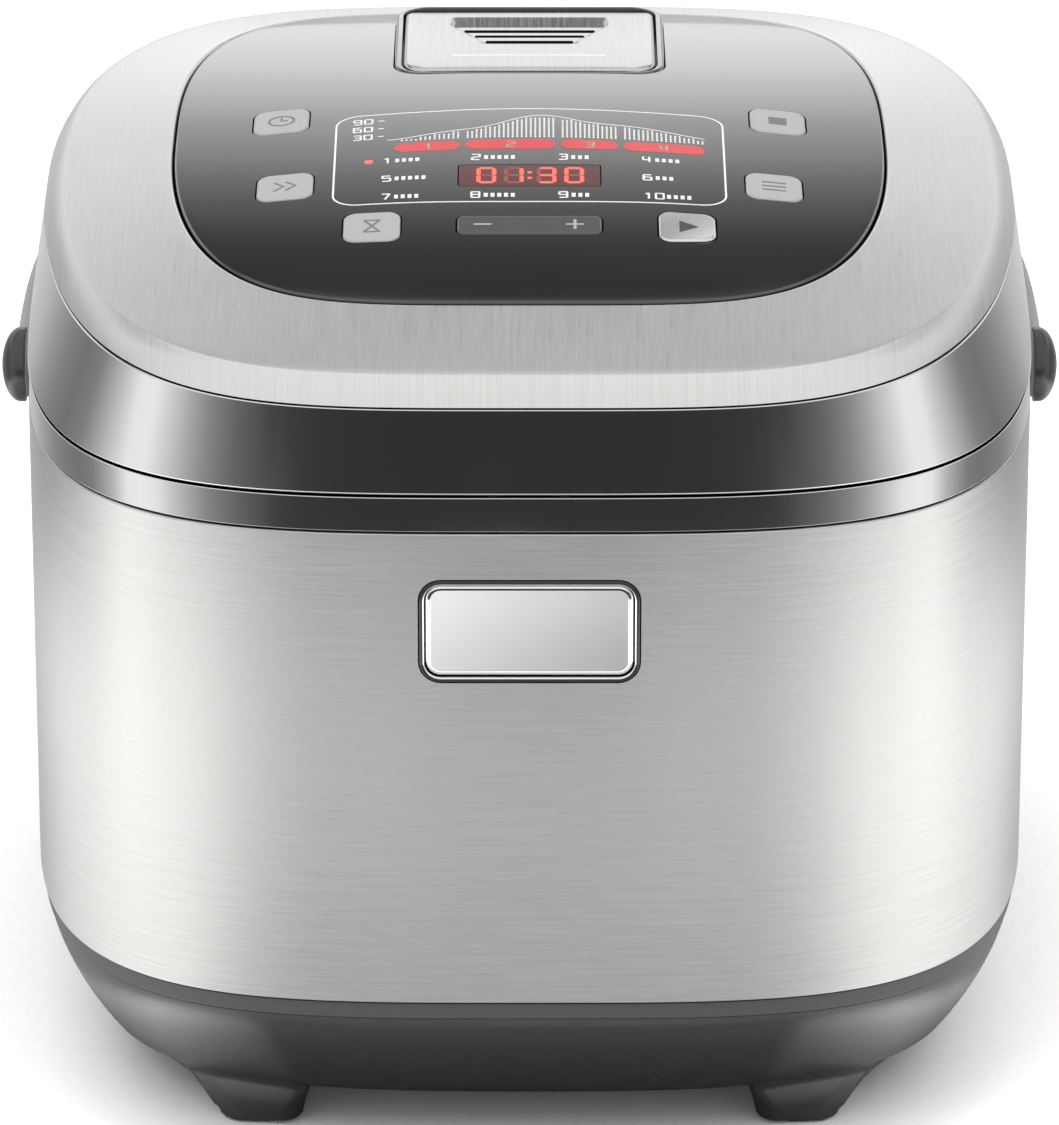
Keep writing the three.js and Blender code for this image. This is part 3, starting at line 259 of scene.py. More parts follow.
def tablet(name, width, depth, corner, x, y, top, bottom, edge=0.6, pitch=2.0, cuts=()):
    # A rounded block whose top is top(x, y, inward): inward is the distance in from its edge
    def marks(half):
        near = {0.0, half}
        near.update(corner * (1 - math.cos(a)) for a in np.linspace(0, math.pi / 2, 9) if corner < half)
        near.update(edge * share for share in (0.06, 0.2, 0.45, 0.75, 1))
        near.update(np.arange(max(corner, edge), half, pitch)[1:])
        kept = sorted(v for v in near if v <= half)
        return np.array([half - v for i, v in enumerate(kept) if i == 0 or v - kept[i - 1] > 0.02])
    upper = marks(depth / 2)
    rows = np.concatenate([-upper, upper[::-1][1:]])
    for cut in cuts:  # rows moved to where the top has a step
        rows[np.argmin(abs(rows - cut))] = cut
    side = marks(width / 2)
    shares = np.concatenate([-side, side[::-1][1:]]) / (width / 2)
    grid = []
    for row in rows:
        lost = max(corner - (depth / 2 - abs(row)), 0)
        halfHere = width / 2 - corner + math.sqrt(max(corner ** 2 - lost ** 2, 0))
        grid.append([(share * halfHere, row) for share in shares])
    flat = np.array(grid)
    over = abs(flat) - (np.array([width, depth]) / 2 - corner)
    inward = corner - np.hypot(*np.moveaxis(np.maximum(over, 0), 2, 0)) - np.minimum(over.max(2), 0)
    inward = np.maximum(inward, 0)
    placed = flat + np.array([x, y])
    tops = top(placed[..., 0], placed[..., 1], inward)
    bottoms = bottom(placed[..., 0], placed[..., 1])
    points = [np.dstack([placed, heights]).reshape(-1, 3) for heights in (tops, bottoms)]
    ny, nx = flat.shape[:2]
    over, under = np.arange(2 * ny * nx).reshape(2, ny, nx).tolist()  # the numbers of the two sheets' points
    faces = []
    for j in range(ny - 1):
        for i in range(nx - 1):
            faces.append((over[j][i], over[j][i + 1], over[j + 1][i + 1], over[j + 1][i]))
            faces.append((under[j][i], under[j + 1][i], under[j + 1][i + 1], under[j][i + 1]))
    rim = [(0, i) for i in range(nx)] + [(j, nx - 1) for j in range(1, ny)]
    rim += [(ny - 1, i) for i in range(nx - 2, -1, -1)] + [(j, 0) for j in range(ny - 2, 0, -1)]
    for (j, i), (n, m) in zip(rim, rim[1:] + rim[:1]):
        faces.append((over[j][i], under[j][i], under[n][m], over[n][m]))
    return makeMesh(name, np.vstack(points), faces)


def edgeDrop(inward, radius):  # how far a rounded edge falls below its flat
    near = np.clip(radius - inward, 0, radius)
    return radius - np.sqrt(radius ** 2 - near ** 2)


def gathered(name, parts):  # several shapes in one mesh
    points, faces = [], []
    for part in parts:
        base = len(points)
        points += [vertex.co / mm for vertex in part.data.vertices]
        faces += [tuple(base + i for i in face.vertices) for face in part.data.polygons]
        bpy.data.objects.remove(part)
    return makeMesh(name, points, faces)


def applied(made):  # bakes the modifiers into the mesh
    depsgraph = bpy.context.evaluated_depsgraph_get()
    mesh = bpy.data.meshes.new_from_object(made.evaluated_get(depsgraph))
    made.modifiers.clear()
    made.data = mesh
    return made


def carve(made, tool, how="DIFFERENCE"):  # cuts one shape out of another, or joins it on
    step = made.modifiers.new("carve", "BOOLEAN")
    step.operation, step.solver, step.object = how, "EXACT", tool
    applied(made)
    bpy.data.objects.remove(tool)
    return made


def bevelled(made, width, segments=2, angle=30):
    step = made.modifiers.new("bevel", "BEVEL")
    step.width, step.segments, step.limit_method = width * mm, segments, "ANGLE"
    step.angle_limit = math.radians(angle)
    step.harden_normals = True
    return applied(made)


def finished(made, finish, stands=(), like=None, sharp=35):  # smooths a piece and sets its finish and place
    stands = [stands] if isinstance(stands, str) else list(stands)
    node = like or stands[0]
    made.data.materials.clear()
    made.data.materials.append(finish)
    made.data.shade_smooth()
    made.data.set_sharp_from_angle(angle=math.radians(sharp))
    step = made.modifiers.new("weigh", "WEIGHTED_NORMAL")  # large faces stay flat beside small roundings
    step.keep_sharp, step.weight = True, 90
    applied(made)
    if stands:
        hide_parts(*stands)
    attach(made, bodyOf[node])
    return made


def trueNormals(made, normalAt, chosen):  # the real surface's normals on the chosen faces
    mesh = made.data
    normals = [tuple(corner.vector) for corner in mesh.corner_normals]
    picked = [(loop, mesh.loops[loop].vertex_index) for face in mesh.polygons if chosen(face)
              for loop in face.loop_indices]
    places = np.array([mesh.vertices[i].co for _, i in picked]) / mm
    wanted = normalAt(places)
    wanted = wanted / np.linalg.norm(wanted, axis=1)[:, None]
    for (loop, _), normal in zip(picked, wanted):
        normals[loop] = tuple(normal)
    mesh.normals_split_custom_set(normals)


def aroundGrain(made):  # u runs round the body from the middle of its rear, v is the height, in metres
    layer = made.data.uv_layers.new(name="grain")
    points = np.array([vertex.co for vertex in made.data.vertices]) / mm
    angles = np.arctan2(points[:, 1] - centreY, points[:, 0])
    angles = np.where(angles < -math.pi / 2, angles + 2 * math.pi, angles)
    whole = arcTable[1][-1]
    around = (np.interp(angles, *arcTable) + whole / 2) % whole
    for face in made.data.polygons:
        runs = around[list(face.vertices)]
        if runs.max() - runs.min() > whole / 2:
            runs = np.where(runs < whole / 2, runs + whole, runs)
        for loop, run, i in zip(face.loop_indices, runs, face.vertices):
            layer.data[loop].uv = (run * mm, points[i, 2] * mm)


def alongGrain(made, along=1, across=0):  # straight grain: u runs along it and v across it, in metres
    layer = made.data.uv_layers.new(name="grain")
    for loop in made.data.loops:
        point = made.data.vertices[loop.vertex_index].co
        layer.data[loop.index].uv = (point[along], point[across])


def refined(node, finish, bevel):  # a CAD node's own shape, with its edges broken
    mesh = bpy.data.meshes.new(node)
    shape = bmesh.new()
    shape.from_mesh(frame["nodes"][node].data)
    bmesh.ops.remove_doubles(shape, verts=shape.verts, dist=1e-6)
    bmesh.ops.dissolve_limit(shape, angle_limit=math.radians(1), verts=shape.verts, edges=shape.edges)
    shape.to_mesh(mesh)
    shape.free()
    finished(bevelled(linked(node + "-refined", mesh), bevel), finish, node)


print("helpers ready")


def linear(hexColour):  # sRGB hex to linear RGBA
    parts = [int(hexColour[i:i + 2], 16) / 255 for i in (1, 3, 5)]
    return tuple(c / 12.92 if c <= 0.04045 else ((c + 0.055) / 1.055) ** 2.4 for c in parts) + (1,)


def addNode(tree, kind, inputs=None, stops=(), **settings):
    made = tree.nodes.new(kind)
    for key, value in settings.items():
        setattr(made, key, value)
    for key, value in (inputs or {}).items():  # a value to set, or a socket to link from
        if isinstance(value, bpy.types.NodeSocket):
            tree.links.new(value, made.inputs[key])
        else:
            made.inputs[key].default_value = value
    while stops and len(made.color_ramp.elements) < len(stops):
        made.color_ramp.elements.new(0.5)
    for i, (place, colour) in enumerate(stops):
        made.color_ramp.elements[i].position, made.color_ramp.elements[i].color = place, colour
    return made


def startMaterial(name, values):  # one shader, whose sockets take these values
    made = bpy.data.materials.new(name)
    made.use_nodes = True
    tree = made.node_tree
    tree.nodes.clear()
    shader = addNode(tree, "ShaderNodeBsdfPrincipled", values)
    addNode(tree, "ShaderNodeOutputMaterial", {"Surface": shader.outputs[0]})
    return made, tree, shader


def surfaced(tree, shader, look, height, cloud, depth):  # a fine relief, and a roughness that wanders
    bump = addNode(tree, "ShaderNodeBump", {
        "Height": height, "Strength": look["relief"], "Distance": depth * mm})
    rough = addNode(tree, "ShaderNodeMapRange", {
        "Value": cloud, "From Min": 0.3, "From Max": 0.7,
        "To Min": look["roughness"] - look["spread"], "To Max": look["roughness"] + look["spread"]})
    tree.links.new(bump.outputs[0], shader.inputs["Normal"])
    tree.links.new(rough.outputs[0], shader.inputs["Roughness"])


def brushed(name, steel, around=False):  # fine parallel hairlines, and highlights drawn out across them
    quarter = 0.25  # the pull turned square to the hairs
    made, tree, shader = startMaterial(name, {
        "Metallic": 1.0, "Anisotropic": steel["pull"], "Anisotropic Rotation": quarter})
    grain = addNode(tree, "ShaderNodeUVMap", uv_map="grain").outputs["UV"]
    lines = []
    for width, length, seed in steel["hairs"]:
        placed = addNode(tree, "ShaderNodeMapping", {
            "Vector": grain, "Scale": (1 / (length * mm), 1 / (width * mm), 1), "Location": (seed, seed, 0)})
        lines.append(addNode(tree, "ShaderNodeTexNoise", {
            "Vector": placed.outputs[0], "Scale": 1.0, "Detail": 2.0, "Roughness": 0.6},
            noise_dimensions="2D").outputs["Fac"])
    mixed = addNode(tree, "ShaderNodeMath", {0: lines[0], 1: lines[1]}, operation="ADD").outputs[0]
    halved = addNode(tree, "ShaderNodeMath", {0: mixed, 1: 0.5}, operation="MULTIPLY").outputs[0]
    low, high = steel["colours"]
    shade = addNode(tree, "ShaderNodeValToRGB", {"Fac": halved}, [(0.32, linear(low)), (0.68, linear(high))])
    tree.links.new(shade.outputs["Color"], shader.inputs["Base Color"])
    surfaced(tree, shader, {"spread": 0.05, **steel}, halved, halved, 0.05)
    if around:
        tangent = addNode(tree, "ShaderNodeTangent", direction_type="RADIAL", axis="Z")
    else:
        tangent = addNode(tree, "ShaderNodeTangent", direction_type="UV_MAP", uv_map="grain")
    tree.links.new(tangent.outputs[0], shader.inputs["Tangent"])
    return made


def moulded(name, plastic):  # one even colour, a fine spark-eroded grain, a soft sheen
    plastic = {"ior": 1.53, "coat": 0, "coatRoughness": 0.04, "spread": 0.04, **plastic}
    values = {
        "Base Color": linear(plastic["colour"]), "Roughness": plastic["roughness"], "IOR": plastic["ior"]}
    if plastic["coat"]:
        values.update({"Coat Weight": plastic["coat"], "Coat Roughness": plastic["coatRoughness"]})
    made, tree, shader = startMaterial(name, values)
    place = addNode(tree, "ShaderNodeTexCoord").outputs["Object"]
    grain = addNode(tree, "ShaderNodeTexNoise", {
        "Vector": place, "Scale": 1 / (plastic["grain"] * mm), "Detail": 3.0, "Roughness": 0.55})
    cloud = addNode(tree, "ShaderNodeTexNoise", {"Vector": place, "Scale": 1 / (40 * mm), "Detail": 2.0})
    surfaced(tree, shader, plastic, grain.outputs["Fac"], cloud.outputs["Fac"], 0.06)
    return made


def plated(name, metal):  # a tinted mirror with the faint waviness of its pressing
    made, tree, shader = startMaterial(name, {
        "Metallic": 1.0, "Base Color": linear(metal["colour"]), "Roughness": metal["roughness"]})
    place = addNode(tree, "ShaderNodeTexCoord").outputs["Object"]
    wave = addNode(tree, "ShaderNodeTexNoise", {
        "Vector": place, "Scale": 1 / (metal["wave"] * mm), "Detail": 2.0}).outputs["Fac"]
    surfaced(tree, shader, {"spread": 0.02, **metal}, wave, wave, 0.1)
    return made


def glowing(name, colour, strength):  # even light behind a diffuser
    return startMaterial(name, {
        "Roughness": 0.4, "Base Color": linear(colour), "Emission Color": linear(colour),
        "Emission Strength": strength})[0]


# Hairs are (width, length, offset) in mm, grains and waves a size in mm. Hairs and an eroded mould's grain are
# about 0.1 mm on the real thing, and are drawn coarser, so that they show.
# Stainless steel, brushed round the body: upright soft bars of light with level hairs in them
shellSteel = brushed("stainless-steel-brushed-around", {
    "pull": 0.75, "roughness": 0.33, "relief": 0.12, "colours": ("#c8c7c5", "#d9d8d6"),
    "hairs": [(0.32, 14, 0), (0.9, 45, 7)]}, around=True)
# Stainless steel, brushed from front to back: a pale, even lid with fine upright hairs
coverSteel = brushed("stainless-steel-brushed-along", {
    "pull": 0.75, "roughness": 0.32, "relief": 0.1, "colours": ("#d6d5d3", "#e2e1df"),
    "hairs": [(0.35, 14, 3), (0.9, 40, 11)]})
# Stainless steel, satin: a smoother, brighter cap that still shows its grain
capSteel = brushed("stainless-steel-satin-cap", {
    "pull": 0.5, "roughness": 0.2, "relief": 0.06, "colours": ("#bdbdbb", "#cacac8"),
    "hairs": [(0.4, 14, 5), (1.0, 40, 2)]})
# Chromium-plated ABS: a clear dark mirror on the walls, with hard-edged lights
smokedChrome = plated("abs-chrome-plated-band", {
    "colour": "#dededf", "roughness": 0.05, "wave": 30, "relief": 0.01, "spread": 0.01})
brightChrome = plated("abs-chrome-plated-bright", {  # the same, paler: the button's face, its liner, and a thin strip on the vent cap that is a painted highlight
    "colour": "#f1f1f0", "roughness": 0.08, "wave": 25, "relief": 0.01, "spread": 0.01})
drawnAluminium = plated("aluminium-drawn", {  # deep-drawn sheet: a dull grey glow with slow waves
    "colour": "#c9cacb", "roughness": 0.33, "wave": 12, "relief": 0.1})
plainSteel = plated("steel-zinc-plated", {  # zinc plating: a greyer, patchy shine
    "colour": "#b9bab8", "roughness": 0.3, "wave": 6, "relief": 0.1})
silverKey = plated("abs-satin-metallised", {  # vapour-coated ABS: a soft silver face that takes one wide sheen
    "colour": "#dcdcda", "roughness": 0.24, "wave": 14, "relief": 0.03})
gloss = {"ior": 1.58, "coatIor": 1.5}
glossPanel = moulded("polycarbonate-gloss-black", {  # polished and hard-coated: a black mirror
    "colour": "#151516", "roughness": 0.06, "grain": 30, "relief": 0.01, "spread": 0.01, "ior": gloss["ior"],
    "coat": 1.0, "coatRoughness": 0.03})
darkAbs = moulded("abs-moulded-charcoal", {  # eroded mould: dark, with broad soft lights on the bowl and grip
    "colour": "#2b2b2c", "roughness": 0.27, "grain": 0.45, "relief": 0.12})
trimAbs = moulded("abs-moulded-grey-trim", {  # a coarser grain: a flat mid grey line round the base
    "colour": "#414142", "roughness": 0.36, "grain": 0.45, "relief": 0.2})
bezelAbs = moulded("abs-gloss-black-bezel", {  # polished mould: a black edge with thin lights
    "colour": "#1c1c1e", "roughness": 0.14, "grain": 8, "relief": 0.02, "spread": 0.02})
keyAbs = moulded("abs-moulded-pale-grey", {  # fine grain: matt pale keys that stay even
    "colour": "#8e8e8c", "roughness": 0.38, "grain": 0.3, "relief": 0.12})
rockerAbs = moulded("abs-gloss-graphite", {  # polished mould: a dark bar, a shade above the panel
    "colour": "#3c3c3d", "roughness": 0.2, "grain": 6, "relief": 0.03, "spread": 0.02})
bailNylon = moulded("nylon-moulded-grey", {  # eroded mould: a mid grey strap with a dull sheen
    "colour": "#838381", "roughness": 0.42, "grain": 0.5, "relief": 0.2})
frameResin = moulded("polypropylene-moulded-grey", {  # waxy and matt, without clear reflections
    "colour": "#8f8f8d", "roughness": 0.45, "grain": 0.5, "relief": 0.2})
padRubber = moulded("rubber-moulded-black", {  # matt black that swallows the light
    "colour": "#1b1b1b", "roughness": 0.75, "grain": 0.5, "relief": 0.4})
sealSilicone = moulded("silicone-moulded-translucent", {  # a milky grey lip with a soft shine
    "colour": "#a9aaa8", "roughness": 0.5, "grain": 0.8, "relief": 0.15, "ior": 1.41})
potCoating = moulded("aluminium-nonstick-coated", {  # sprayed and baked: speckled charcoal under a thin gloss
    "colour": "#2d2d2e", "roughness": 0.4, "grain": 0.35, "relief": 0.3, "coat": 0.3, "coatRoughness": 0.25})
boardGreen = moulded("glass-epoxy-board", {  # solder resist: green with a wet gloss
    "colour": "#1f5a35", "roughness": 0.4, "grain": 0.6, "relief": 0.1, "coat": 0.4})
partBlack = moulded("epoxy-moulded-black", {  # matt black with a dry grain
    "colour": "#1f1f20", "roughness": 0.5, "grain": 0.4, "relief": 0.3})
slotShade = moulded("foam-open-cell-black", {  # painted shade: a flat black that stands for the dark inside a deep slot
    "colour": "#0b0b0b", "roughness": 0.9, "grain": 0.5, "relief": 0.3, "ior": 1.03})
coilTape = moulded("polyester-tape-yellow", {  # wound tape: amber with a smooth sheen
    "colour": "#c9a227", "roughness": 0.35, "grain": 1.0, "relief": 0.1})
lensRed = moulded("acrylic-tinted-red", {  # cast and polished: a dark red window
    "colour": "#4a2624", "roughness": 0.08, "grain": 20, "relief": 0.01, "spread": 0.01, "ior": 1.49})
# Inks, printed: flat, slightly raised colour without a clear reflection
inkWhite = moulded("ink-screen-printed-white", {
    "colour": "#c9c9c7", "roughness": 0.45, "grain": 0.3, "relief": 0.1})
inkRed = moulded("ink-backlit-red", {
    "colour": "#b42a2d", "roughness": 0.3, "grain": 0.3, "relief": 0.05})
inkGrey = moulded("ink-pad-printed-grey", {
    "colour": "#5d5d5c", "roughness": 0.5, "grain": 0.3, "relief": 0.1})
inkDark = moulded("ink-pad-printed-charcoal", {
    "colour": "#2e2e2e", "roughness": 0.5, "grain": 0.3, "relief": 0.1})
# Light-emitting segments: a clear red where lit, a dim one where not
segmentLit = glowing("led-segment-lit", "#ff4a3d", 0.9)
segmentDim = glowing("led-segment-dark", "#7a3330", 0.05)
print("materials ready")


shell = {"wall": 1, "edge": 0.35, "topEdge": 0.45, "innerEdge": 0.3, "hole": 0.3, "holeCorner": 6.3,
         "holeDeep": 12, "inletLap": 3.5, "inletCorner": 4, "inletDeep": 10, "cutAhead": 5}


def ringsOf(plan, profile):  # profile: (inset, height)
    return [outline(shrunk(plan, inset), height) for inset, height in profile]


def holeBehind(node, grow, corner, front, back):  # the opening that a fitting covers
    low, high = span(node)
    shape = roundedRect(high.x - low.x + 2 * grow, high.z - low.z + 2 * grow, corner)
    return loft("hole", [upright(shape, y, (low.z + high.z) / 2) for y in (front, back)], closed=False)


def smoothWall(made):  # an outer wall's true normals, so that it mirrors evenly
    def isWall(face):
        outward = wallNormal(np.array([face.center]) / mm, bodyPlan)[0]
        outward /= np.linalg.norm(outward)
        return abs(face.normal.z) < 0.02 and outward @ np.array(face.normal) > 0.98
    trueNormals(made, lambda points: wallNormal(points, bodyPlan), isWall)


def makeShell():
    low, high = span("outer_shell")
    made = loft("bodyShell", ringsOf(bodyPlan, softened([
        (0, low.z, shell["edge"]), (0, high.z, shell["topEdge"]),
        (shell["wall"], high.z, shell["innerEdge"]), (shell["wall"], low.z, shell["innerEdge"])])))
    carve(made, holeBehind("release_bezel", shell["hole"], shell["holeCorner"],
                           low.y - shell["cutAhead"], low.y + shell["holeDeep"]))
    carve(made, holeBehind("power_inlet", -shell["inletLap"], shell["inletCorner"],
                           high.y - shell["inletDeep"], high.y + shell["cutAhead"]))
    finished(made, shellSteel, "outer_shell", sharp=40)
    smoothWall(made)
    aroundGrain(made)


collar = {"wall": 2.5, "deckDrop": 5, "well": 116, "lip": 0.7, "lipDrop": 1.3, "slotHalf": 8.4,
          "catchHalf": 14, "slotDeep": 9}


def makeCollar():
    high = span("upper_collar")[1]
    shellTop = span("outer_shell")[1].z
    deck, wall, well = high.z - collar["deckDrop"], collar["wall"], collar["well"]
    outside = softened([  # the top slopes inward, so the seam above it stays dark
        (0, shellTop, 0.2), (0, high.z, 0.25), (collar["lip"], high.z, 0),
        (wall, high.z - collar["lipDrop"], 0.5), (wall, deck, 0.3)])[:-1]
    rings = ringsOf(bodyPlan, outside + [(wall, deck)])
    rings += [ringAt(well + 1, deck), ringAt(well, deck - 0.8), ringAt(well, deck - wall)]
    rings += ringsOf(bodyPlan, [(wall, deck - wall), (wall, shellTop)])
    made = loft("lidSeatCollar", rings)
    leverFront = span("latch_lever")[0].y
    catchLow, catchHigh = span("lid_catch")
    for half, front, back in ((collar["slotHalf"], leverFront - 3, catchLow.y + 1),
                              (collar["catchHalf"], catchLow.y - 0.3, catchHigh.y + 3)):
        carve(made, block("slot", (-half, front, deck - collar["slotDeep"]), (half, back, deck + 1)))
    finished(made, smokedChrome, "upper_collar", sharp=40)
    smoothWall(made)


ears = {"thick": 3, "around": 1.5, "below": 2.5, "topDrop": 7.5}  # under the deck, to hold the latch pin


def makeLatchEars():
    pinLow, pinHigh = span("latch_pin")
    top = span("upper_collar")[1].z - ears["topDrop"]
    inner = collar["slotHalf"]
    outer = inner + ears["thick"]
    parts = [block("ear", (left, pinLow.y - ears["around"], pinLow.z - ears["below"]),
                   (right, pinHigh.y + ears["around"], top))
             for left, right in ((-outer, -inner), (inner, outer))]
    finished(gathered("latchEars", parts), darkAbs, like="upper_collar")


trim = {"inset": 1, "groove": 0.7, "recess": 1.4, "deep": 5}  # with a shadow groove under the shell's edge


def makeTrim():
    low, high = span("base_trim")
    lip, recess, deep = high.z - trim["groove"], trim["recess"], trim["deep"]
    profile = softened([(0, low.z, 0.5), (0, lip, 0.3), (recess, lip, 0), (recess, high.z, 0),
                        (deep, high.z, 0), (deep, low.z, 0)])
    made = loft("baseTrim", ringsOf(shrunk(bodyPlan, trim["inset"]), profile))
    finished(made, trimAbs, "base_trim", sharp=40)


bowl = {"deep": 38.5, "step": 1.5, "sideTuck": 16.4, "endTuck": 27.6, "fullness": 1.36, "wall": 2.5,
        "floorSide": 2.9, "floorEnd": 5, "floorInset": 60, "rounding": 3, "lip": 0.3,
        "slots": 7, "slotPitch": 10, "slotSize": (4, 46), "slotCorner": 1.9, "slotBack": 68}
foot = {"across": 80, "ahead": 119, "behind": 104, "top": (43, 30), "bottom": (24, 19), "corner": 6,
        "lean": 3.5, "topLean": -3.5, "rise": 9, "soft": 2.4, "flare": 1.15, "inside": 0.03, "skirt": 1.9,
        "soleInsets": (4.6, 3.8)}
bowlFloor = span("base_housing")[1].z - bowl["deep"]


def bowlPlan(height, wall=0):  # from the body's plan at the top to a smaller, fuller one at the floor
    top = span("base_housing")[1].z
    down = min(max((top - height) / (top - bowlFloor), 0), 1) ** bowl["fullness"]
    inset = bowl["step"] + wall
    plan = shrunk(bodyPlan, inset + bowl["sideTuck"] * down, inset + bowl["endTuck"] * down)
    side = bodyPlan["side"] + (bowl["floorSide"] - bodyPlan["side"]) * down
    end = bodyPlan["frontEnd"] + (bowl["floorEnd"] - bodyPlan["frontEnd"]) * down
    return {**plan, "side": side, "frontEnd": end, "rearEnd": end}


def makeBowl():
    low, high = span("base_housing")
    soft, wall, inset = bowl["rounding"], bowl["wall"], bowl["floorInset"]
    rings = [outline(shrunk(bowlPlan(bowlFloor), inset), bowlFloor)]
    for up, inward in quarterTurn(6):  # the turn from the floor into the wall
        height = bowlFloor + soft * up
        rings.append(outline(shrunk(bowlPlan(height), soft * inward), height))
    rings += [outline(bowlPlan(z), z) for z in np.linspace(bowlFloor + soft + 1.5, high.z - 0.4, 18)]
    rings.append(outline(bowlPlan(high.z, bowl["lip"]), high.z))
    rings += [outline(bowlPlan(z, wall), z) for z in np.linspace(high.z, bowlFloor + wall, 6)]
    rings.append(outline(shrunk(bowlPlan(bowlFloor, wall), inset), bowlFloor + wall))
    made = loft("baseBowl", rings, closed=False)
    slotY = centreY + bowl["slotBack"]
    for i in range(bowl["slots"]):
        x = (i - (bowl["slots"] - 1) / 2) * bowl["slotPitch"]
        slot = roundedRect(*bowl["slotSize"], bowl["slotCorner"], 4) + np.array([x, slotY])
        carve(made, prism("slot", slot, bowlFloor - 1, bowlFloor + wall + 1))
    finished(made, darkAbs, "base_housing", sharp=32)
    feet = [makeFoot(x, y, low.z) for y in (-foot["ahead"], foot["behind"])
            for x in (-foot["across"], foot["across"])]
    finished(gathered("baseFeet", feet), darkAbs, like="base_housing", sharp=52)


def underBowl(ring):  # draws in the points of a foot's level ring that would stand outside the bowl
    away = ring[:, :2] - np.array([0, centreY])
    radius = np.hypot(*away.T)
    limit = reach(bowlPlan(max(ring[0, 2], bowlFloor)), np.arctan2(away[:, 1], away[:, 0])) - foot["inside"]
    return level(away * (np.minimum(radius, limit) / radius)[:, None], 0, centreY, ring[0, 2])


def makeFoot(x, y, padTop):
    sole = padTop - foot["skirt"]  # the foot's rim hides most of its rubber pad
    bottom, lean, soft = foot["bottom"], foot["lean"], foot["soft"]

    def ringOf(size, lean, z, inset=0):
        shape = roundedRect(size[0] - 2 * inset, size[1] - 2 * inset, max(foot["corner"] - inset * 0.8, 1))
        return underBowl(level(shape, x - math.copysign(lean, x * lean), centreY + y, z))
    hollow, edge = foot["soleInsets"]
    rings = [ringOf(bottom, lean, sole + soft, hollow), ringOf(bottom, lean, sole, edge)]
    rings += [ringOf(bottom, lean, sole + soft * up, soft * 1.3 * inward) for up, inward in quarterTurn(5)]
    rise = bowlFloor - sole
    start = soft / rise
    for share in np.linspace(start, 1, 9)[1:]:  # flares toward the bowl
        flare = ((share - start) / (1 - start)) ** foot["flare"]
        size = [b + (t - b) * flare for b, t in zip(bottom, foot["top"])]
        rings.append(ringOf(size, lean + (foot["topLean"] - lean) * flare, sole + rise * share))
    rings += [ringOf(foot["top"], foot["topLean"], bowlFloor + up) for up in (2, foot["rise"])]
    return loft("foot", rings, closed=False)


pad = {"size": 14, "corner": 5, "profile": [(1.2, 0), (0.4, 0.2), (0, 0.7)]}  # profile: (inset, up)


def makePads():
    for node in [name for name in frame["nodes"] if name.startswith("foot_pad")]:
        low, high = span(node)
        rings = []
        for inset, up in pad["profile"] + [(0, high.z - low.z)]:
            size = pad["size"] - 2 * inset
            shape = roundedRect(size, size, pad["corner"] - inset * 0.8)
            rings.append(level(shape, *middleOf(node), low.z + up))
        finished(loft(node.replace("foot_pad", "rubberPad"), rings, closed=False), padRubber, node)


makeShell()
makeCollar()
makeLatchEars()
makeTrim()
makeBowl()
makePads()
print("body ready")


band = {"wall": 2.5, "edge": 0.7, "topEdge": 0.4, "innerEdge": 0.3}
cover = {"wall": 1.2, "gap": 0.6, "roll": 1.1, "skirtPower": 2.3, "creaseSlope": 0.7, "turnIn": 0.15,
         "innerFall": 0.84}


def bandRing(inset, height):
    low = span("lid_band")[0].z
    share = (height - low) / (span("lid_cover")[0].z - low)
    below, above = reach(shrunk(bodyPlan, inset), turnAngles), reach(shrunk(coverPlan, inset), turnAngles)
    return ringAt(below + (above - below) * share, height)


def makeBand():
    low, high = span("lid_band")
    wall, inner = band["wall"], band["innerEdge"]
    profile = softened([(0, low.z, band["edge"]), (0, high.z, band["topEdge"]), (wall, high.z, inner),
                        (wall, low.z, inner)])
    finished(loft("lidBand", [bandRing(inset, z) for inset, z in profile]), smokedChrome, "lid_band", sharp=40)


def skirtDrop(share):  # from the shoulder's crease down to the seam
    start = cover["creaseSlope"] * dome["skirtInset"]
    return start * share + (dome["skirtRise"] - start) * share ** cover["skirtPower"]


def domeRing(radius, drop=0):
    return ringAt(radius, lambda x, y: domeHeight(x, y) - drop)


def makeCover():
    low = span("lid_cover")[0]
    opening = reach(shrunk(panelPlan, -cover["gap"]), turnAngles)
    shoulder = reach(shoulderPlan, turnAngles)
    wall, roll, inset = cover["wall"], cover["roll"], dome["skirtInset"]
    rings = [domeRing(opening, wall + roll)]
    rings += [domeRing(opening + roll * inward, roll * drop) for inward, drop in quarterTurn(5)]
    rings += [domeRing(opening + roll + (shoulder - opening - roll) * share)
              for share in np.linspace(0, 1, 13)[1:]]
    rings += [outline(shrunk(shoulderPlan, -inset * share), shoulderZ - skirtDrop(share))
              for share in np.linspace(0, 1, 17)[1:]]
    rings += [outline(shrunk(coverPlan, turn), low.z) for turn in (cover["turnIn"], wall)]
    for share in np.linspace(1, 0, 9):
        inside = shoulderZ - wall - skirtDrop(share) * cover["innerFall"]
        rings.append(outline(shrunk(shoulderPlan, wall - inset * share), inside))
    rings += [domeRing(opening + (shoulder - opening - wall) * share, wall)
              for share in np.linspace(1, 0, 6)[1:-1]]
    made = loft("lidCover", rings)
    finished(made, coverSteel, "lid_cover", sharp=60)
    alongGrain(made)


panel = {"proud": 0.18, "wall": 2.5, "edge": 0.6, "cutFrom": 235, "cutTo": 265}
keyNodes = [node for node in frame["nodes"] if node.endswith("_button") and node != "release_button"]
openings = {node: {"corner": 4, "gap": 0.4} for node in keyNodes}  # in the panel, by what fills them
openings.update({"adjust_rocker": {"corner": 2.5, "gap": 0.4}, "display_lens": {"corner": 0.8, "gap": 0.3},
                 "vent_seat": {"corner": 9, "gap": 0.3}})


def panelTop(x, y):
    return domeHeight(x, y) + panel["proud"]


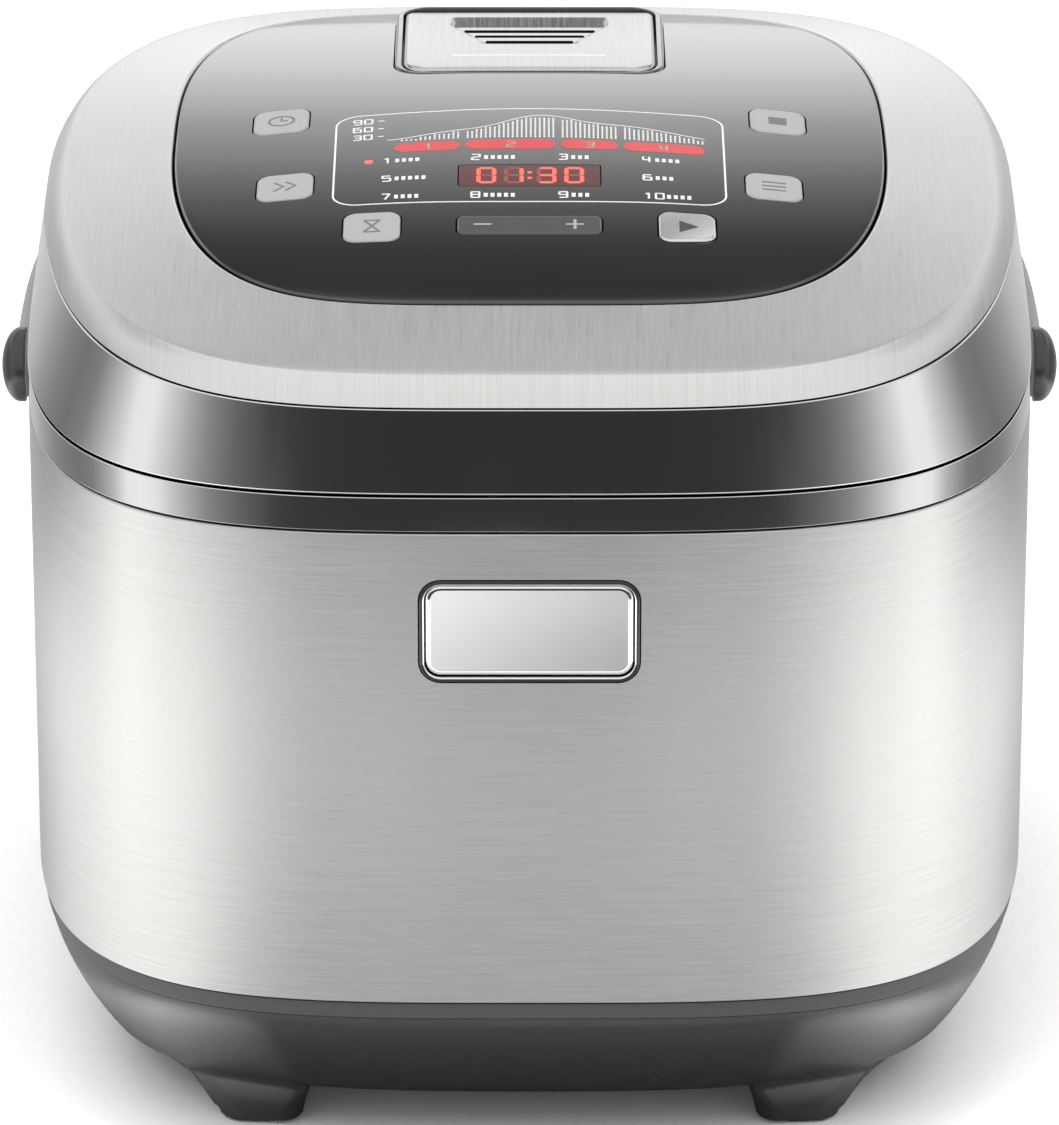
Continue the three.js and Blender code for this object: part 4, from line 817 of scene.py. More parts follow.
def holeThrough(node, corner, gap):
    low, high = span(node)
    shape = roundedRect(high.x - low.x + 2 * gap, high.y - low.y + 2 * gap, corner + gap)
    return prism("hole", shape + np.array(middleOf(node)), panel["cutFrom"], panel["cutTo"])


def makePanel():
    radius = reach(panelPlan, turnAngles)
    edge, wall, proud = panel["edge"], panel["wall"], panel["proud"]
    rings = [domeRing(radius * share, -proud) for share in np.linspace(0.02, 0.96, 26)]
    rings += [domeRing(radius - edge * inward, edge * drop - proud) for drop, inward in quarterTurn(5)]
    rings.append(domeRing(radius, wall - proud))
    rings += [domeRing(radius * share, wall - proud) for share in np.linspace(0.96, 0.02, 12)]
    made = loft("controlPanel", rings, closed=False)
    for node, opening in openings.items():
        carve(made, holeThrough(node, **opening))
    finished(made, glossPanel, "control_panel", sharp=40)
    trueNormals(made, domeNormal, lambda face: face.normal.z > 0.9 and onTop(face))


def onTop(face):
    spot = face.center / mm
    angle = math.atan2(spot.y - centreY, spot.x)
    inside = math.hypot(spot.x, spot.y - centreY) < reach(panelPlan, np.array([angle]))[0] - panel["edge"]
    return inside and spot.z > panelTop(np.array([spot.x]), np.array([spot.y]))[0] - 1


makeBand()
makeCover()
makePanel()
refined("lid_frame", frameResin, 0.4)
print("lid ready")


key = {"proud": 0.6, "edge": 0.7, "depth": 4, "dish": 0.004, "dishShift": 2, "dishSink": 60, "stem": 2.4}
lensEdge = 0.15


def keyTop(x, y):
    return domeHeight(x, y) + key["proud"]


def startTop(x, y):  # a shallow trough across the key, which draws a sheen from corner to corner
    middle = middleOf("start_button")
    across = (x - middle[0] - (y - middle[1])) / math.sqrt(2)
    return keyTop(x, y) + key["dish"] * ((across + key["dishShift"]) ** 2 - key["dishSink"])


def sheet(name, node, topOf, underOf, edge):  # a rounded block that follows the dome over its node
    low, high = span(node)
    return tablet(name, high.x - low.x, high.y - low.y, openings[node]["corner"], *middleOf(node),
                  lambda x, y, inward: topOf(x, y) - edgeDrop(inward, edge), underOf, edge=edge)


def makeKeys():
    for node in keyNodes + ["adjust_rocker"]:
        x, y = middleOf(node)
        low = span(node)[0].z
        face = sheet("face", node, startTop if node == "start_button" else keyTop,
                     lambda px, py: domeHeight(px, py) - key["depth"], key["edge"])
        top = float(domeHeight(np.array([x]), np.array([y]))[0]) - key["depth"]
        stem = turned("stem", [(key["stem"], low), (key["stem"], top + 0.2)], x, y, 24, closed=False)
        look = {"start_button": silverKey, "adjust_rocker": rockerAbs}.get(node, keyAbs)
        words = node.split("_")
        finished(gathered(words[0] + words[1].title(), [face, stem]), look, node)


def makeLens():
    made = sheet("displayWindow", "display_lens", panelTop,
                 lambda x, y: panelTop(x, y) - panel["wall"], lensEdge)
    finished(made, lensRed, "display_lens")


# Printed and lit graphics: thin raised strips over the dome
ink = {"lift": 0.05, "sink": 0.03, "line": 0.55}


def ribbon(path, widths, lift, height=panelTop):  # a thin raised strip along a path over the dome
    path = np.array(path, float)
    widths = np.broadcast_to(np.asarray(widths, float), (len(path),))
    closed = len(path) > 2 and np.allclose(path[0], path[-1])
    ahead = np.gradient(path, axis=0)
    if closed:
        ahead[0] = ahead[-1] = path[1] - path[-2]
    ahead /= np.maximum(np.linalg.norm(ahead, axis=1), 1e-9)[:, None]
    side = np.column_stack([-ahead[:, 1], ahead[:, 0]]) * widths[:, None] / 2
    rings = []
    for left, right in zip(path + side, path - side):
        ends = np.array([left, right, right, left])
        rises = np.array([lift, lift, -ink["sink"], -ink["sink"]])
        rings.append(np.column_stack([ends, height(ends[:, 0], ends[:, 1]) + rises]))
    return rings[:-1] if closed else rings, closed


def printed(name, strips, finish, body="lid", lift=ink["lift"], height=panelTop, slot="key_plastic"):
    points, faces = [], []
    for path, widths in strips:
        rings, closed = ribbon(path, widths, lift, height)
        base, count = len(points), len(rings)
        points += [p for ring in rings for p in ring]
        for k in range(count if closed else count - 1):
            low, high = base + 4 * k, base + 4 * ((k + 1) % count)
            faces += [(low + i, low + (i + 1) % 4, high + (i + 1) % 4, high + i) for i in range(4)]
        if not closed:
            faces += [tuple(base + i for i in range(4)), tuple(base + 4 * (count - 1) + i for i in range(4))]
    made = makeMesh(name, points, faces)
    made.data.materials.append(finish)
    made.data.shade_smooth()
    made.data.set_sharp_from_angle(angle=math.radians(30))
    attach(made, body)
    return made


def at(x, y):  # plan millimetres about the body's middle
    return np.array([x, centreY + y])


def dense(points, pitch=2.0):  # a polyline with points close enough to follow the dome
    out = []
    for a, b in zip(points[:-1], points[1:]):
        a, b = np.array(a, float), np.array(b, float)
        steps = max(int(np.linalg.norm(b - a) / pitch), 1)
        out += [a + (b - a) * i / steps for i in range(steps)]
    return out + [np.array(points[-1], float)]


strokes = {  # plain numerals on a 2 by 4 grid
    "0": [[(0, 0), (2, 0), (2, 4), (0, 4), (0, 0)]],
    "1": [[(0.4, 3.2), (1.2, 4), (1.2, 0)]],
    "2": [[(0, 4), (2, 4), (2, 2.2), (0, 1.6), (0, 0), (2, 0)]],
    "3": [[(0, 4), (2, 4), (2, 0), (0, 0)], [(0.5, 2.1), (2, 2.1)]],
    "4": [[(0, 4), (0, 1.6), (2, 1.6)], [(1.6, 4), (1.6, 0)]],
    "5": [[(2, 4), (0, 4), (0, 2.3), (2, 2.3), (2, 0), (0, 0)]],
    "6": [[(2, 4), (0, 4), (0, 0), (2, 0), (2, 2.2), (0, 2.2)]],
    "7": [[(0, 4), (2, 4), (0.8, 0)]],
    "8": [[(0, 0), (2, 0), (2, 4), (0, 4), (0, 0)], [(0, 2.1), (2, 2.1)]],
    "9": [[(2, 2), (0, 2), (0, 4), (2, 4), (2, 0), (0, 0)]],
}


def numeral(text, x, y, width, height, weight):
    strips = []
    for i, sign in enumerate(text):
        for stroke in strokes[sign]:
            path = [at(x + (i * 3 + u) * width / 2, y + v * height / 4) for u, v in stroke]
            strips += [([a, b], weight) for a, b in zip(path[:-1], path[1:])]
    return strips


print("numerals ready")

chart = {"left": -38.4, "right": 50, "base": -17.0, "gap": 1.4, "phases": (16, 22, 14, 20),
         "barPitch": 1.25, "bar": 0.5, "dotPitch": 1.35, "dotShare": 0.72, "lead": 2, "line": 0.4,
         "pillHalf": 3.3, "pillsAt": -21.6, "numeral": (2.2, 3.6, 0.5),
         "rise": [(0, 1.5), (0.14, 5.5), (0.3, 8.5), (0.42, 16.5), (0.5, 17.5), (0.62, 12), (0.8, 10), (1, 4)]}
display = {"left": -55.3, "right": 55.3, "front": -60.2, "back": 5.2, "corner": 7}


def curveHeight(x):
    share = (x - chart["left"]) / (chart["right"] - chart["left"])
    fine = np.linspace(0, 1, 61)
    rough = np.interp(fine, *zip(*chart["rise"]))
    smooth = np.convolve(np.pad(rough, 3, "edge"), np.ones(7) / 7, "valid")
    return float(np.interp(share, fine, smooth))


def phases():
    room = chart["right"] - chart["left"] - chart["gap"] * (len(chart["phases"]) - 1)
    x = chart["left"]
    for width in chart["phases"]:
        real = width * room / sum(chart["phases"])
        yield x, x + real
        x += real + chart["gap"]


def makeFrameLine():
    front, back = display["front"], display["back"]
    shape = roundedRect(display["right"] - display["left"], back - front, display["corner"], 8)
    path = [at(x, y + (front + back) / 2) for x, y in shape]
    printed("displayOutline", [(dense(path + [path[0]]), ink["line"])], inkWhite)


def makeChart():
    strips, pills, marks = [], [], []
    base, pitch, half = chart["base"], chart["dotPitch"], chart["pillHalf"]
    for number, (left, right) in enumerate(phases(), 1):
        count = int((right - left) / chart["barPitch"])
        for i in range(count):
            x = left + (i + 0.5) * (right - left) / count
            for k in range(int((curveHeight(x) - 0.8) / pitch)):
                y = base + 0.4 + k * pitch
                strips.append(([at(x, y), at(x, y + pitch * chart["dotShare"])], chart["bar"]))
        end = half * (1 - np.cos(np.linspace(0.15, math.pi / 2, 7)))
        xs = np.concatenate([left + end, np.linspace(left + half, right - half, 8)[1:-1], right - end[::-1]])
        lost = np.maximum(half - np.minimum(xs - left, right - xs), 0)
        pills.append(([at(x, chart["pillsAt"]) for x in xs], 2 * np.sqrt(half ** 2 - lost ** 2)))
        marks += numeral(str(number), (left + right) / 2 - 1, chart["pillsAt"] - 1.8, *chart["numeral"])
    course = np.linspace(chart["left"] - chart["lead"], chart["right"], 60)
    strips.append(([at(x, base + curveHeight(x)) for x in course], chart["line"]))
    printed("phaseChart", strips, inkWhite)
    printed("phasePills", pills, inkRed, slot="display_red")
    printed("phaseNumbers", marks, keyAbs, lift=0.08)


labels = {"scale": [("90", -1.5), ("60", -7.5), ("30", -13.5)], "scaleLeft": -50.3, "tick": (-43.4, -41.6),
          "scaleNumeral": (2.1, 3.4, 0.55), "numeral": (2.2, 3.6, 0.6),  # width, height and weight
          "rows": [(-30.6, (0, 1, 2, 3)), (-43.4, (0, 3)), (-55.8, (0, 1, 2, 3))],
          "columns": (-41.5, -16.3, 8.4, 32.2), "barPitch": 1.9, "bar": 1.1,
          "lampAt": (-45.6, -30.5), "lamp": 1.25, "lampWide": 2.7}


def makeLabels():
    strips = []
    for text, y in labels["scale"]:
        strips += numeral(text, labels["scaleLeft"], y, *labels["scaleNumeral"])
        strips.append(([at(x, y + 1.7) for x in labels["tick"]], 0.5))
    places = [(labels["columns"][column], y) for y, columns in labels["rows"] for column in columns]
    for number, (x, y) in enumerate(places, 1):
        strips += numeral(str(number), x, y - 1.7, *labels["numeral"])
        start = x + (7 if number > 9 else 4)
        for i in range(3 + number % 3):  # a row of small bars for the programme's length
            bar = start + i * labels["barPitch"]
            strips.append(([at(bar, y - 1.3), at(bar, y + 1.1)], labels["bar"]))
    printed("programmeNumbers", strips, inkWhite)
    lampX, lampY = labels["lampAt"]
    xs = np.linspace(-1, 1, 11)
    path = [at(lampX + labels["lamp"] * x, lampY) for x in xs]
    widths = np.maximum(labels["lampWide"] * np.sqrt(1 - xs ** 2), 0.3)
    printed("programmeLamp", [(path, widths)], segmentLit, slot="display_red")


segments = {  # seven-segment places: start and end on a 1 by 2 cell
    "a": ((0, 2), (1, 2)), "b": ((1, 2), (1, 1)), "c": ((1, 1), (1, 0)), "d": ((0, 0), (1, 0)),
    "e": ((0, 1), (0, 0)), "f": ((0, 2), (0, 1)), "g": ((0, 1), (1, 1)),
}
litFor = {"0": "abcdef", "1": "bc", "3": "abcdg"}
clock = {"text": "0130", "lefts": (-14.4, -6.6, 2.6, 10.4), "width": 4.4, "height": 9.4, "line": 1.15,
         "tip": 0.15, "colonAt": 0.1, "colonHalf": 0.6, "colon": 1.2}


def makeDigits():
    lit, dim = [], []
    tall, line, tip = clock["height"], clock["line"], clock["tip"]
    bottom = middleOf("display_lens")[1] - centreY - tall / 2
    cell = np.array([clock["width"], tall / 2])
    for left, sign in zip(clock["lefts"], clock["text"]):
        for name, ends in segments.items():
            a, b = [np.array([left, bottom]) + np.array(end) * cell for end in ends]
            ahead = (b - a) / np.linalg.norm(b - a)
            inset = tip + line / 2
            stops = [a + ahead * tip, a + ahead * inset, b - ahead * inset, b - ahead * tip]
            bar = ([at(*stop) for stop in stops], [tip, line, line, tip])
            (lit if name in litFor[sign] else dim).append(bar)
    x, half = clock["colonAt"], clock["colonHalf"]
    for y in (bottom + tall * 0.3, bottom + tall * 0.7):
        lit.append(([at(x, y - half), at(x, y + half)], clock["colon"]))
    printed("clockSegmentsLit", lit, segmentLit, slot="display_red")
    printed("clockSegmentsDark", dim, segmentDim, slot="display_red", lift=0.03)


ringPath = [(3.6 * math.cos(a), 3.6 * math.sin(a)) for a in np.linspace(0, 2 * math.pi, 22)]
glass = [(-2.2, 3.6), (2.2, 3.6), (-2.2, -3.6), (2.2, -3.6), (-2.2, 3.6)]
signs = {  # plain signs, as paths about the key's middle with their widths
    "delay_button": [(ringPath, 0.7), ([(0, 2.4), (0, 0)], 0.6), ([(0, 0), (1.8, 0)], 0.6)],
    "quick_button": [([(s, 3), (s + 2.8, 0), (s, -3)], 0.8) for s in (-3.2, 0.2)],
    "time_button": [([a, b], 0.7) for a, b in zip(glass[:-1], glass[1:])],
    "start_button": [([(-2.2, 0), (3, 0)], [7.2, 0.3])],
    "function_button": [([(-3.4, s), (3.4, s)], 0.8) for s in (-2.6, 0, 2.6)],
    "cancel_button": [([(-2.6, 0), (2.6, 0)], 5.4)],
}
minus = [([(-15.6, 0), (-10.6, 0)], 0.8)]
plus = [([(10.2, 0), (15.2, 0)], 0.8), ([(12.7, -2.9), (12.7, 2.9)], 0.8)]


def makeLegends():
    def placed(strips, x, y):
        return [([at(x + u, y - centreY + v) for u, v in path], widths) for path, widths in strips]
    for node, strips in signs.items():
        start = node == "start_button"
        printed(node.split("_")[0] + "Sign", placed(strips, *middleOf(node)), inkDark if start else inkGrey,
                body=bodyOf[node], height=startTop if start else keyTop)
    printed("rockerSigns", placed(minus + plus, 0, middleOf("adjust_rocker")[1]), keyAbs,
            body=bodyOf["adjust_rocker"], height=keyTop)


makeKeys()
makeLens()
makeFrameLine()
makeChart()
makeLabels()
makeDigits()
makeLegends()
print("panel fittings ready")


vent = {"rim": 2.2, "rimHigh": 4, "proud": 0.15, "rearProud": 5.2, "bow": 0.3, "gap": 0.5, "bore": 7,
        "boreLip": 3, "inlayIn": 1.5, "inlayWide": 1.05, "inlayEnd": 3.2, "inlayLift": 0.08}
ventCap = {"front": 0.9, "proud": 4.1, "edge": 1.2, "corner": 6.9, "fall": 1.1, "fallFrom": 22, "fallOver": 8,
           "wallSlope": 1.2}
grille = {  # the stepped recess in the cap; places run from the cap's middle to its rear
    "slits": [(-4.9, 12.8, 0.32), (1.3, 16.0, 0.57), (7.5, 19.2, 0.82)], "slitWide": 2.8,
    "steps": [(-8.4, 0), (-6.5, -0.15), (-6.25, -2.2), (-4.95, -2.2), (-4.6, -0.4), (-0.3, -0.4), (-0.05, -2.5),
              (1.25, -2.5), (1.6, -0.65), (5.9, -0.65), (6.15, -2.8), (7.45, -2.8), (7.8, -0.9), (12.4, -1.0),
              (13.5, -1.4), (19.4, -0.2), (20.4, 0)],
    "widths": [(-8.4, 13.2), (-5.6, 14.2), (0.6, 17.4), (6.8, 20.6), (8.2, 21.6), (12.4, 23.4), (13.5, 23.4),
               (20.4, 23.4)],
    # The cap's front line: a painted highlight, a paler chrome strip where a crease would catch the light
    "crease": (-18.5, 22.4), "creaseWide": 0.8}


def shareAlong(node, y):  # 0 at a node's front and 1 at its rear
    low, high = span(node)
    return np.clip((y - low.y) / (high.y - low.y), 0, 1)


def seatRise(x, y):  # the seat stands prouder at the rear, where the dome falls away
    bowed = 1 - vent["bow"] * (x / span("vent_seat")[1].x) ** 2
    rise = (vent["rearProud"] - vent["proud"]) * shareAlong("vent_seat", y) * bowed
    return domeHeight(x, y) + vent["proud"] + rise


def makeVentSeat():
    low, high = span("vent_seat")
    x, y = middleOf("vent_seat")
    size, corner, rim = high - low, openings["vent_seat"]["corner"], vent["rim"]

    def ring(inset, drop=0, height=None):  # under the seat's top, or at one height
        shape = roundedRect(size.x - 2 * inset, size.y - 2 * inset, max(corner - inset, 0.4), 9)
        made = level(shape, x, y, low.z if height is None else height)
        if height is None:
            made[:, 2] = seatRise(made[:, 0], made[:, 1]) - drop
        return made
    # Insets and drops of the rolled rim
    lipped = [(0, 0.8), (0.1, 0.5), (0.4, 0.15), (0.8, 0), (rim - 0.5, 0), (rim - 0.15, 0.12), (rim, 0.4)]
    rings = [ring(0, height=low.z)] + [ring(inset, drop) for inset, drop in lipped]
    rings += [ring(rim, height=low.z + vent["rimHigh"]), ring(rim + 1.8, height=low.z + rim)]
    spokes = rings[-1][:, :2] - np.array([x, y])
    spokes /= np.linalg.norm(spokes, axis=1)[:, None]
    for radius, up in ((vent["bore"] + vent["boreLip"], rim), (vent["bore"], rim - 0.6), (vent["bore"], 0)):
        rings.append(level(spokes * radius, x, y, low.z + up))
    finished(loft("ventSeat", rings), glossPanel, "vent_seat", sharp=25)
    start = vent["inlayIn"]
    shape = roundedRect(size.x - 2 * start, size.y - 2 * start, corner - start, 9)
    side = shape[(shape[:, 0] > 0) & (abs(shape[:, 1]) < size.y / 2 - vent["inlayEnd"])]
    inlays = []
    for mirror in (-1, 1):
        path = [np.array([x + mirror * across, y + along]) for across, along in dense(list(side), 3)]
        ends = np.minimum(np.arange(len(path)), np.arange(len(path))[::-1])
        inlays.append((path, vent["inlayWide"] * np.clip(0.25 + ends / 4, 0, 1)))
    printed("ventSeatInlay", inlays, drawnAluminium, lift=vent["inlayLift"], height=seatRise,
            slot=slotOf["vent_seat"])


def capCrown(x, y):
    rise = (ventCap["proud"] - ventCap["front"]) * shareAlong("vent_cap", y)
    return domeHeight(x, y) + ventCap["front"] + rise


def capHeight(x, y, inward):  # the cap's top with its stepped, tapering grille
    middle = middleOf("vent_cap")
    along = y - middle[1]
    rearFall = ventCap["fall"] * np.clip((along - ventCap["fallFrom"]) / ventCap["fallOver"], 0, 1) ** 2
    halfWidth = np.interp(along, *zip(*grille["widths"]))
    inside = np.clip((halfWidth - abs(x - middle[0])) / ventCap["wallSlope"], 0, 1)
    inside = inside * inside * (3 - 2 * inside)
    steps = np.interp(along, *zip(*grille["steps"])) * inside
    return capCrown(x, y) - edgeDrop(inward, ventCap["edge"]) - rearFall + steps


def makeVentCap():
    low, high = span("vent_cap")
    x, y = middleOf("vent_cap")
    size, fitting = high - low, {"body": bodyOf["vent_cap"], "slot": slotOf["vent_cap"]}
    made = tablet("ventCap", size.x, size.y, ventCap["corner"], x, y, capHeight,
                  lambda px, py: np.full(px.shape, low.z), edge=ventCap["edge"], pitch=0.6,
                  cuts=[place for place, _ in grille["steps"]])
    finished(made, capSteel, "vent_cap", sharp=28)
    alongGrain(made)

    def across(place, half):  # a level path over the cap
        return [at(u, y - centreY + place) for u in np.linspace(-half, half, 25)]
    # Black strips laid in each slit's trough: painted shade for the dark of the open slits
    for i, (place, half, depth) in enumerate(grille["slits"], 1):
        printed("ventSlit-%d" % i, [(across(place, half), grille["slitWide"])], slotShade, lift=0,
                height=lambda px, py: capCrown(px, py) - depth, **fitting)
    # A thin strip of paler chrome across the cap's front: a painted highlight for the light on a crease
    printed("ventCapLine", [(across(*grille["crease"]), grille["creaseWide"])], brightChrome, height=capCrown,
            **fitting)


makeVentSeat()
makeVentCap()
print("vent ready")


release = {"corner": 6, "rim": 1.4, "gap": 0.35, "sink": 2.4, "liner": 0.95, "thick": 3,
           "stem": (0.18339, 0.1295), "plunger": (5, 1.5)}


def uprightRings(node, corner, steps):  # rounded frames about a node's middle; steps: (inset, y)
    low, high = span(node)
    rings = []
    for inset, y in steps:
        wide, tall = high.x - low.x - 2 * inset, high.z - low.z - 2 * inset
        rings.append(upright(roundedRect(wide, tall, max(corner - inset, 0.4), 9), y, (low.z + high.z) / 2))
    return rings


def makeBezel():
    low, high = span("release_bezel")
    z, front, back, rim, liner = (low.z + high.z) / 2, low.y, high.y, release["rim"], release["liner"]
    bottom = front + release["sink"]
    rings = uprightRings("release_bezel", release["corner"], [
        (0, back), (0, front + 0.5), (0.12, front + 0.2), (0.4, front), (0.75, front + 0.02),
        (liner, front + 0.2), (liner, bottom), (rim, bottom), (rim, back - 1.5)])
    wide, tall = release["stem"]  # the hollow stem behind, as shares of the rim's width and height
    for ring in uprightRings("release_bezel", release["corner"], [(rim, back - 1.5), (rim, back)]):
        rings.append(np.column_stack([ring[:, 0] * wide, ring[:, 1], z + (ring[:, 2] - z) * tall]))
    finished(loft("releaseBezel", rings), bezelAbs, "release_bezel", sharp=45)
    rings = uprightRings("release_bezel", release["corner"], [
        (liner, front + 0.2), (1.05, front + 0.1), (1.2, front + 0.16), (rim, front + 0.5), (rim, bottom),
        (liner, bottom)])
    finished(loft("releaseLiner", rings), brightChrome, like="release_bezel", sharp=45)


def makeReleaseButton():
    low, high = span("release_button")
    z, front, back = (low.z + high.z) / 2, low.y, low.y + release["thick"]
    rings = uprightRings("release_button", release["corner"] - release["rim"] - release["gap"], [
        (3, back), (0, back), (0, front + 0.9), (0.08, front + 0.62), (0.3, front + 0.3), (0.62, front + 0.08),
        (1.0, front), (1.4, front), (1.5, front + 0.16), (1.9, front + 0.16)])
    half, tall = release["plunger"]
    stem = block("stem", (-half, back - 0.5, z - tall), (half, high.y, z + tall))
    made = gathered("releaseButton", [loft("face", rings, closed=False), stem])
    finished(made, brightChrome, "release_button", sharp=30)


makeBezel()
makeReleaseButton()
print("release button ready")


handle = {"reach": 184, "rear": 3, "side": 3.7, "thick": 4, "high": 12, "corner": 1.7, "eye": 9.4,
          "eyeEdge": 0.5, "gripLength": 120, "gripThick": 13, "gripHigh": 20, "gripCorner": 5,
          "gripTaper": 0.22, "cap": 10.85, "capThick": 4, "capCrown": 5.4, "skirt": 3, "skirtGap": 0.3,
          "way": (4, 20, 6.3)}
pivotZ = joints["handle_swing"]["pos_m"][2] / mm


def bailPath(angles):
    half = span("handle_bail")[1].x - handle["thick"] / 2
    radius = reach({"half": half, "front": handle["reach"], "rear": handle["reach"], "side": handle["side"],
                    "frontEnd": handle["rear"], "rearEnd": handle["rear"]}, angles)
    return np.column_stack([radius * np.cos(angles), centreY + radius * np.sin(angles)])


def sweptStrip(name, path, thick, high, corner, swell):  # swell: the strip's size at each place, as a share
    ahead = np.gradient(path, axis=0)
    ahead /= np.linalg.norm(ahead, axis=1)[:, None]
    out = np.column_stack([ahead[:, 1], -ahead[:, 0]])
    rings = []
    for place, side, size in zip(path, out, swell):
        shape = roundedRect(thick * size, high * size, corner * size, 5)
        rings.append(np.column_stack([place + side * shape[:, :1], pivotZ + shape[:, 1]]))
    return loft(name, rings, closed=False)


def makeBail():
    angles = np.linspace(0.0, math.pi, 181)
    thick, eye, edge = handle["thick"], handle["eye"], handle["eyeEdge"]
    made = sweptStrip("handleBail", bailPath(angles), thick, handle["high"], handle["corner"], np.ones(181))
    inner = span("handle_bail")[1].x - thick
    for side in (-1, 1):
        disc = turned("eye", [(0.5, 0), (eye - edge, 0), (eye, edge), (eye, thick - edge), (eye - edge, thick),
                              (0.5, thick)], 0, 0, 64, closed=False)
        carve(made, layDown(disc, (side * inner, centreY, pivotZ), side), "UNION")
    finished(made, bailNylon, "handle_bail", sharp=40)


def makeGrip():
    fine = np.linspace(0.2, math.pi - 0.2, 2001)
    chosen = fine[abs(bailPath(fine)[:, 0]) <= handle["gripLength"] / 2]
    path = bailPath(np.linspace(chosen[0], chosen[-1], 81))
    ends = 1 - handle["gripTaper"] * np.clip((abs(np.linspace(-1, 1, 81)) - 0.9) / 0.1, 0, 1) ** 2
    made = sweptStrip("handleGrip", path, handle["gripThick"], handle["gripHigh"], handle["gripCorner"], ends)
    finished(made, darkAbs, "handle_grip", sharp=40)


def makeCaps():
    radius, thick, skirt, crown = handle["cap"], handle["capThick"], handle["skirt"], handle["capCrown"]
    inside = handle["eye"] + handle["skirtGap"]
    profile = [(0.3, 0.05), (inside, 0.05), (inside, -skirt), (radius - 0.2, -skirt), (radius, -skirt + 0.3)]
    profile += [(max(radius * math.cos(turn), 0.3), thick - crown + crown * math.sin(turn))
                for turn in np.linspace(0, math.pi / 2, 13)]
    deep, long, half = handle["way"]  # the bail's way out through the skirt
    for side, node in ((-1, "handle_cap_left"), (1, "handle_cap_right")):
        low, high = span(node)
        inner = high.x - thick if side > 0 else low.x + thick
        made = layDown(turned("handleCap" + node.split("_")[2].title(), profile, 0, 0, 96, closed=False),
                       (inner, centreY, pivotZ), side)
        near, far = sorted((inner, inner - side * deep))
        carve(made, block("way", (near, centreY, pivotZ - half), (far, centreY + long, pivotZ + half)))
        finished(made, darkAbs, node, sharp=32)


makeBail()
makeGrip()
makeCaps()
for node, finish, edge in (("handle_stud_left", plainSteel, 0.2), ("handle_stud_right", plainSteel, 0.2),
                           ("hinge_bracket", darkAbs, 0.6), ("lid_hinge_arm", darkAbs, 0.8)):
    refined(node, finish, edge)
print("handle and hinge ready")


pot = {"radius": 113, "wall": 2.2, "flange": 121, "thick": 2, "corner": 35, "bottom": 3}
well = {"hole": 98, "radius": 117, "flange": 125, "wall": 1}
heater = {"hole": 16, "seat": 86, "radius": 97, "flange": 105, "flangeLow": 67.4, "flangeThick": 3}
innerLid = {"vent": 5.3, "beads": [(20, 28, 0.45), (70, 77.5, 0.5), (100, 106.5, 0.5)], "beadSlope": 1.5,
            "holes": 6, "hole": 2.2, "holeCircle": 8}
gasket = {"inner": 109, "lip": 113.3, "outer": 119.5, "step": 211.0}


def arc(cx, cz, radius, start, stop, steps=14):
    return [(cx + radius * math.cos(math.radians(a)), cz + radius * math.sin(math.radians(a)))
            for a in np.linspace(start, stop, steps)]


def makePot():
    low, high = span("inner_pot")
    r, w, c, rim = pot["radius"], pot["wall"], pot["corner"], high.z - pot["thick"]
    profile = [(0.5, low.z)] + arc(r - c, low.z + c, c, -90, 0)
    profile += [(r, rim - 0.4), (r + 0.4, rim), (pot["flange"] - 0.5, rim)]
    profile += arc(pot["flange"] - 1, high.z - 1, 1, -80, 80, 7)
    profile += [(r - w + 1.2, high.z), (r - w + 0.3, high.z - 0.4), (r - w, high.z - 1.4)]
    profile += arc(r - c, low.z + pot["bottom"] + c - w, c - w, 0, -90) + [(0.5, low.z + pot["bottom"])]
    finished(turned("innerPot", profile, steps=192, closed=False), potCoating, "inner_pot", sharp=50)


def makeWell():
    low, high = span("well_liner")
    hole, r, w = well["hole"], well["radius"], well["wall"]
    profile = softened([
        (hole, low.z, 0), (r, low.z, 1.5), (r, high.z - w, 0.4), (well["flange"], high.z - w, 0),
        (well["flange"], high.z, 0.3), (r - w, high.z, 1.2), (r - w, low.z + w, 1), (hole, low.z + w, 0)])
    finished(turned("wellLiner", profile, steps=160), drawnAluminium, "well_liner", sharp=40)


def makeHeaterPlate():
    low, high = span("heater_plate")
    hole, r, flange, step = heater["hole"], heater["radius"], heater["flange"], heater["flangeLow"]
    profile = softened([
        (hole, low.z, 0.5), (r, low.z, 0.5), (r, step, 0), (flange, step, 0.4),
        (flange, step + heater["flangeThick"], 1.2), (r, high.z - 1, 2), (heater["seat"], high.z, 3),
        (hole, high.z, 0.6)])
    profile = [(radius, min(max(z, low.z), high.z)) for radius, z in profile]
    finished(turned("heaterPlate", profile, steps=160), drawnAluminium, "heater_plate", sharp=40)


def makeInnerLid():
    low, high = span("inner_lid_plate")
    profile = [(innerLid["vent"], high.z), (innerLid["vent"], low.z)]
    for start, stop, up in innerLid["beads"]:  # pressed rings that stiffen the plate
        slope = innerLid["beadSlope"] + (0.5 if start == innerLid["beads"][0][0] else 0)
        profile += [(start, low.z), (start + slope, low.z + up), (stop - slope, low.z + up), (stop, low.z)]
    profile += [(high.x - 0.4, low.z), (high.x, low.z + 0.3), (high.x, high.z)]
    made = turned("innerLidPlate", profile, steps=160)
    x, y = middleOf("steam_tube")
    for i in range(innerLid["holes"]):
        turn, out = i * 2 * math.pi / innerLid["holes"], innerLid["holeCircle"]
        carve(made, turned("hole", [(innerLid["hole"], low.z - 1), (innerLid["hole"], high.z + 1)],
                           x + out * math.cos(turn), y + out * math.sin(turn), 24, closed=False))
    finished(made, drawnAluminium, "inner_lid_plate", sharp=40)


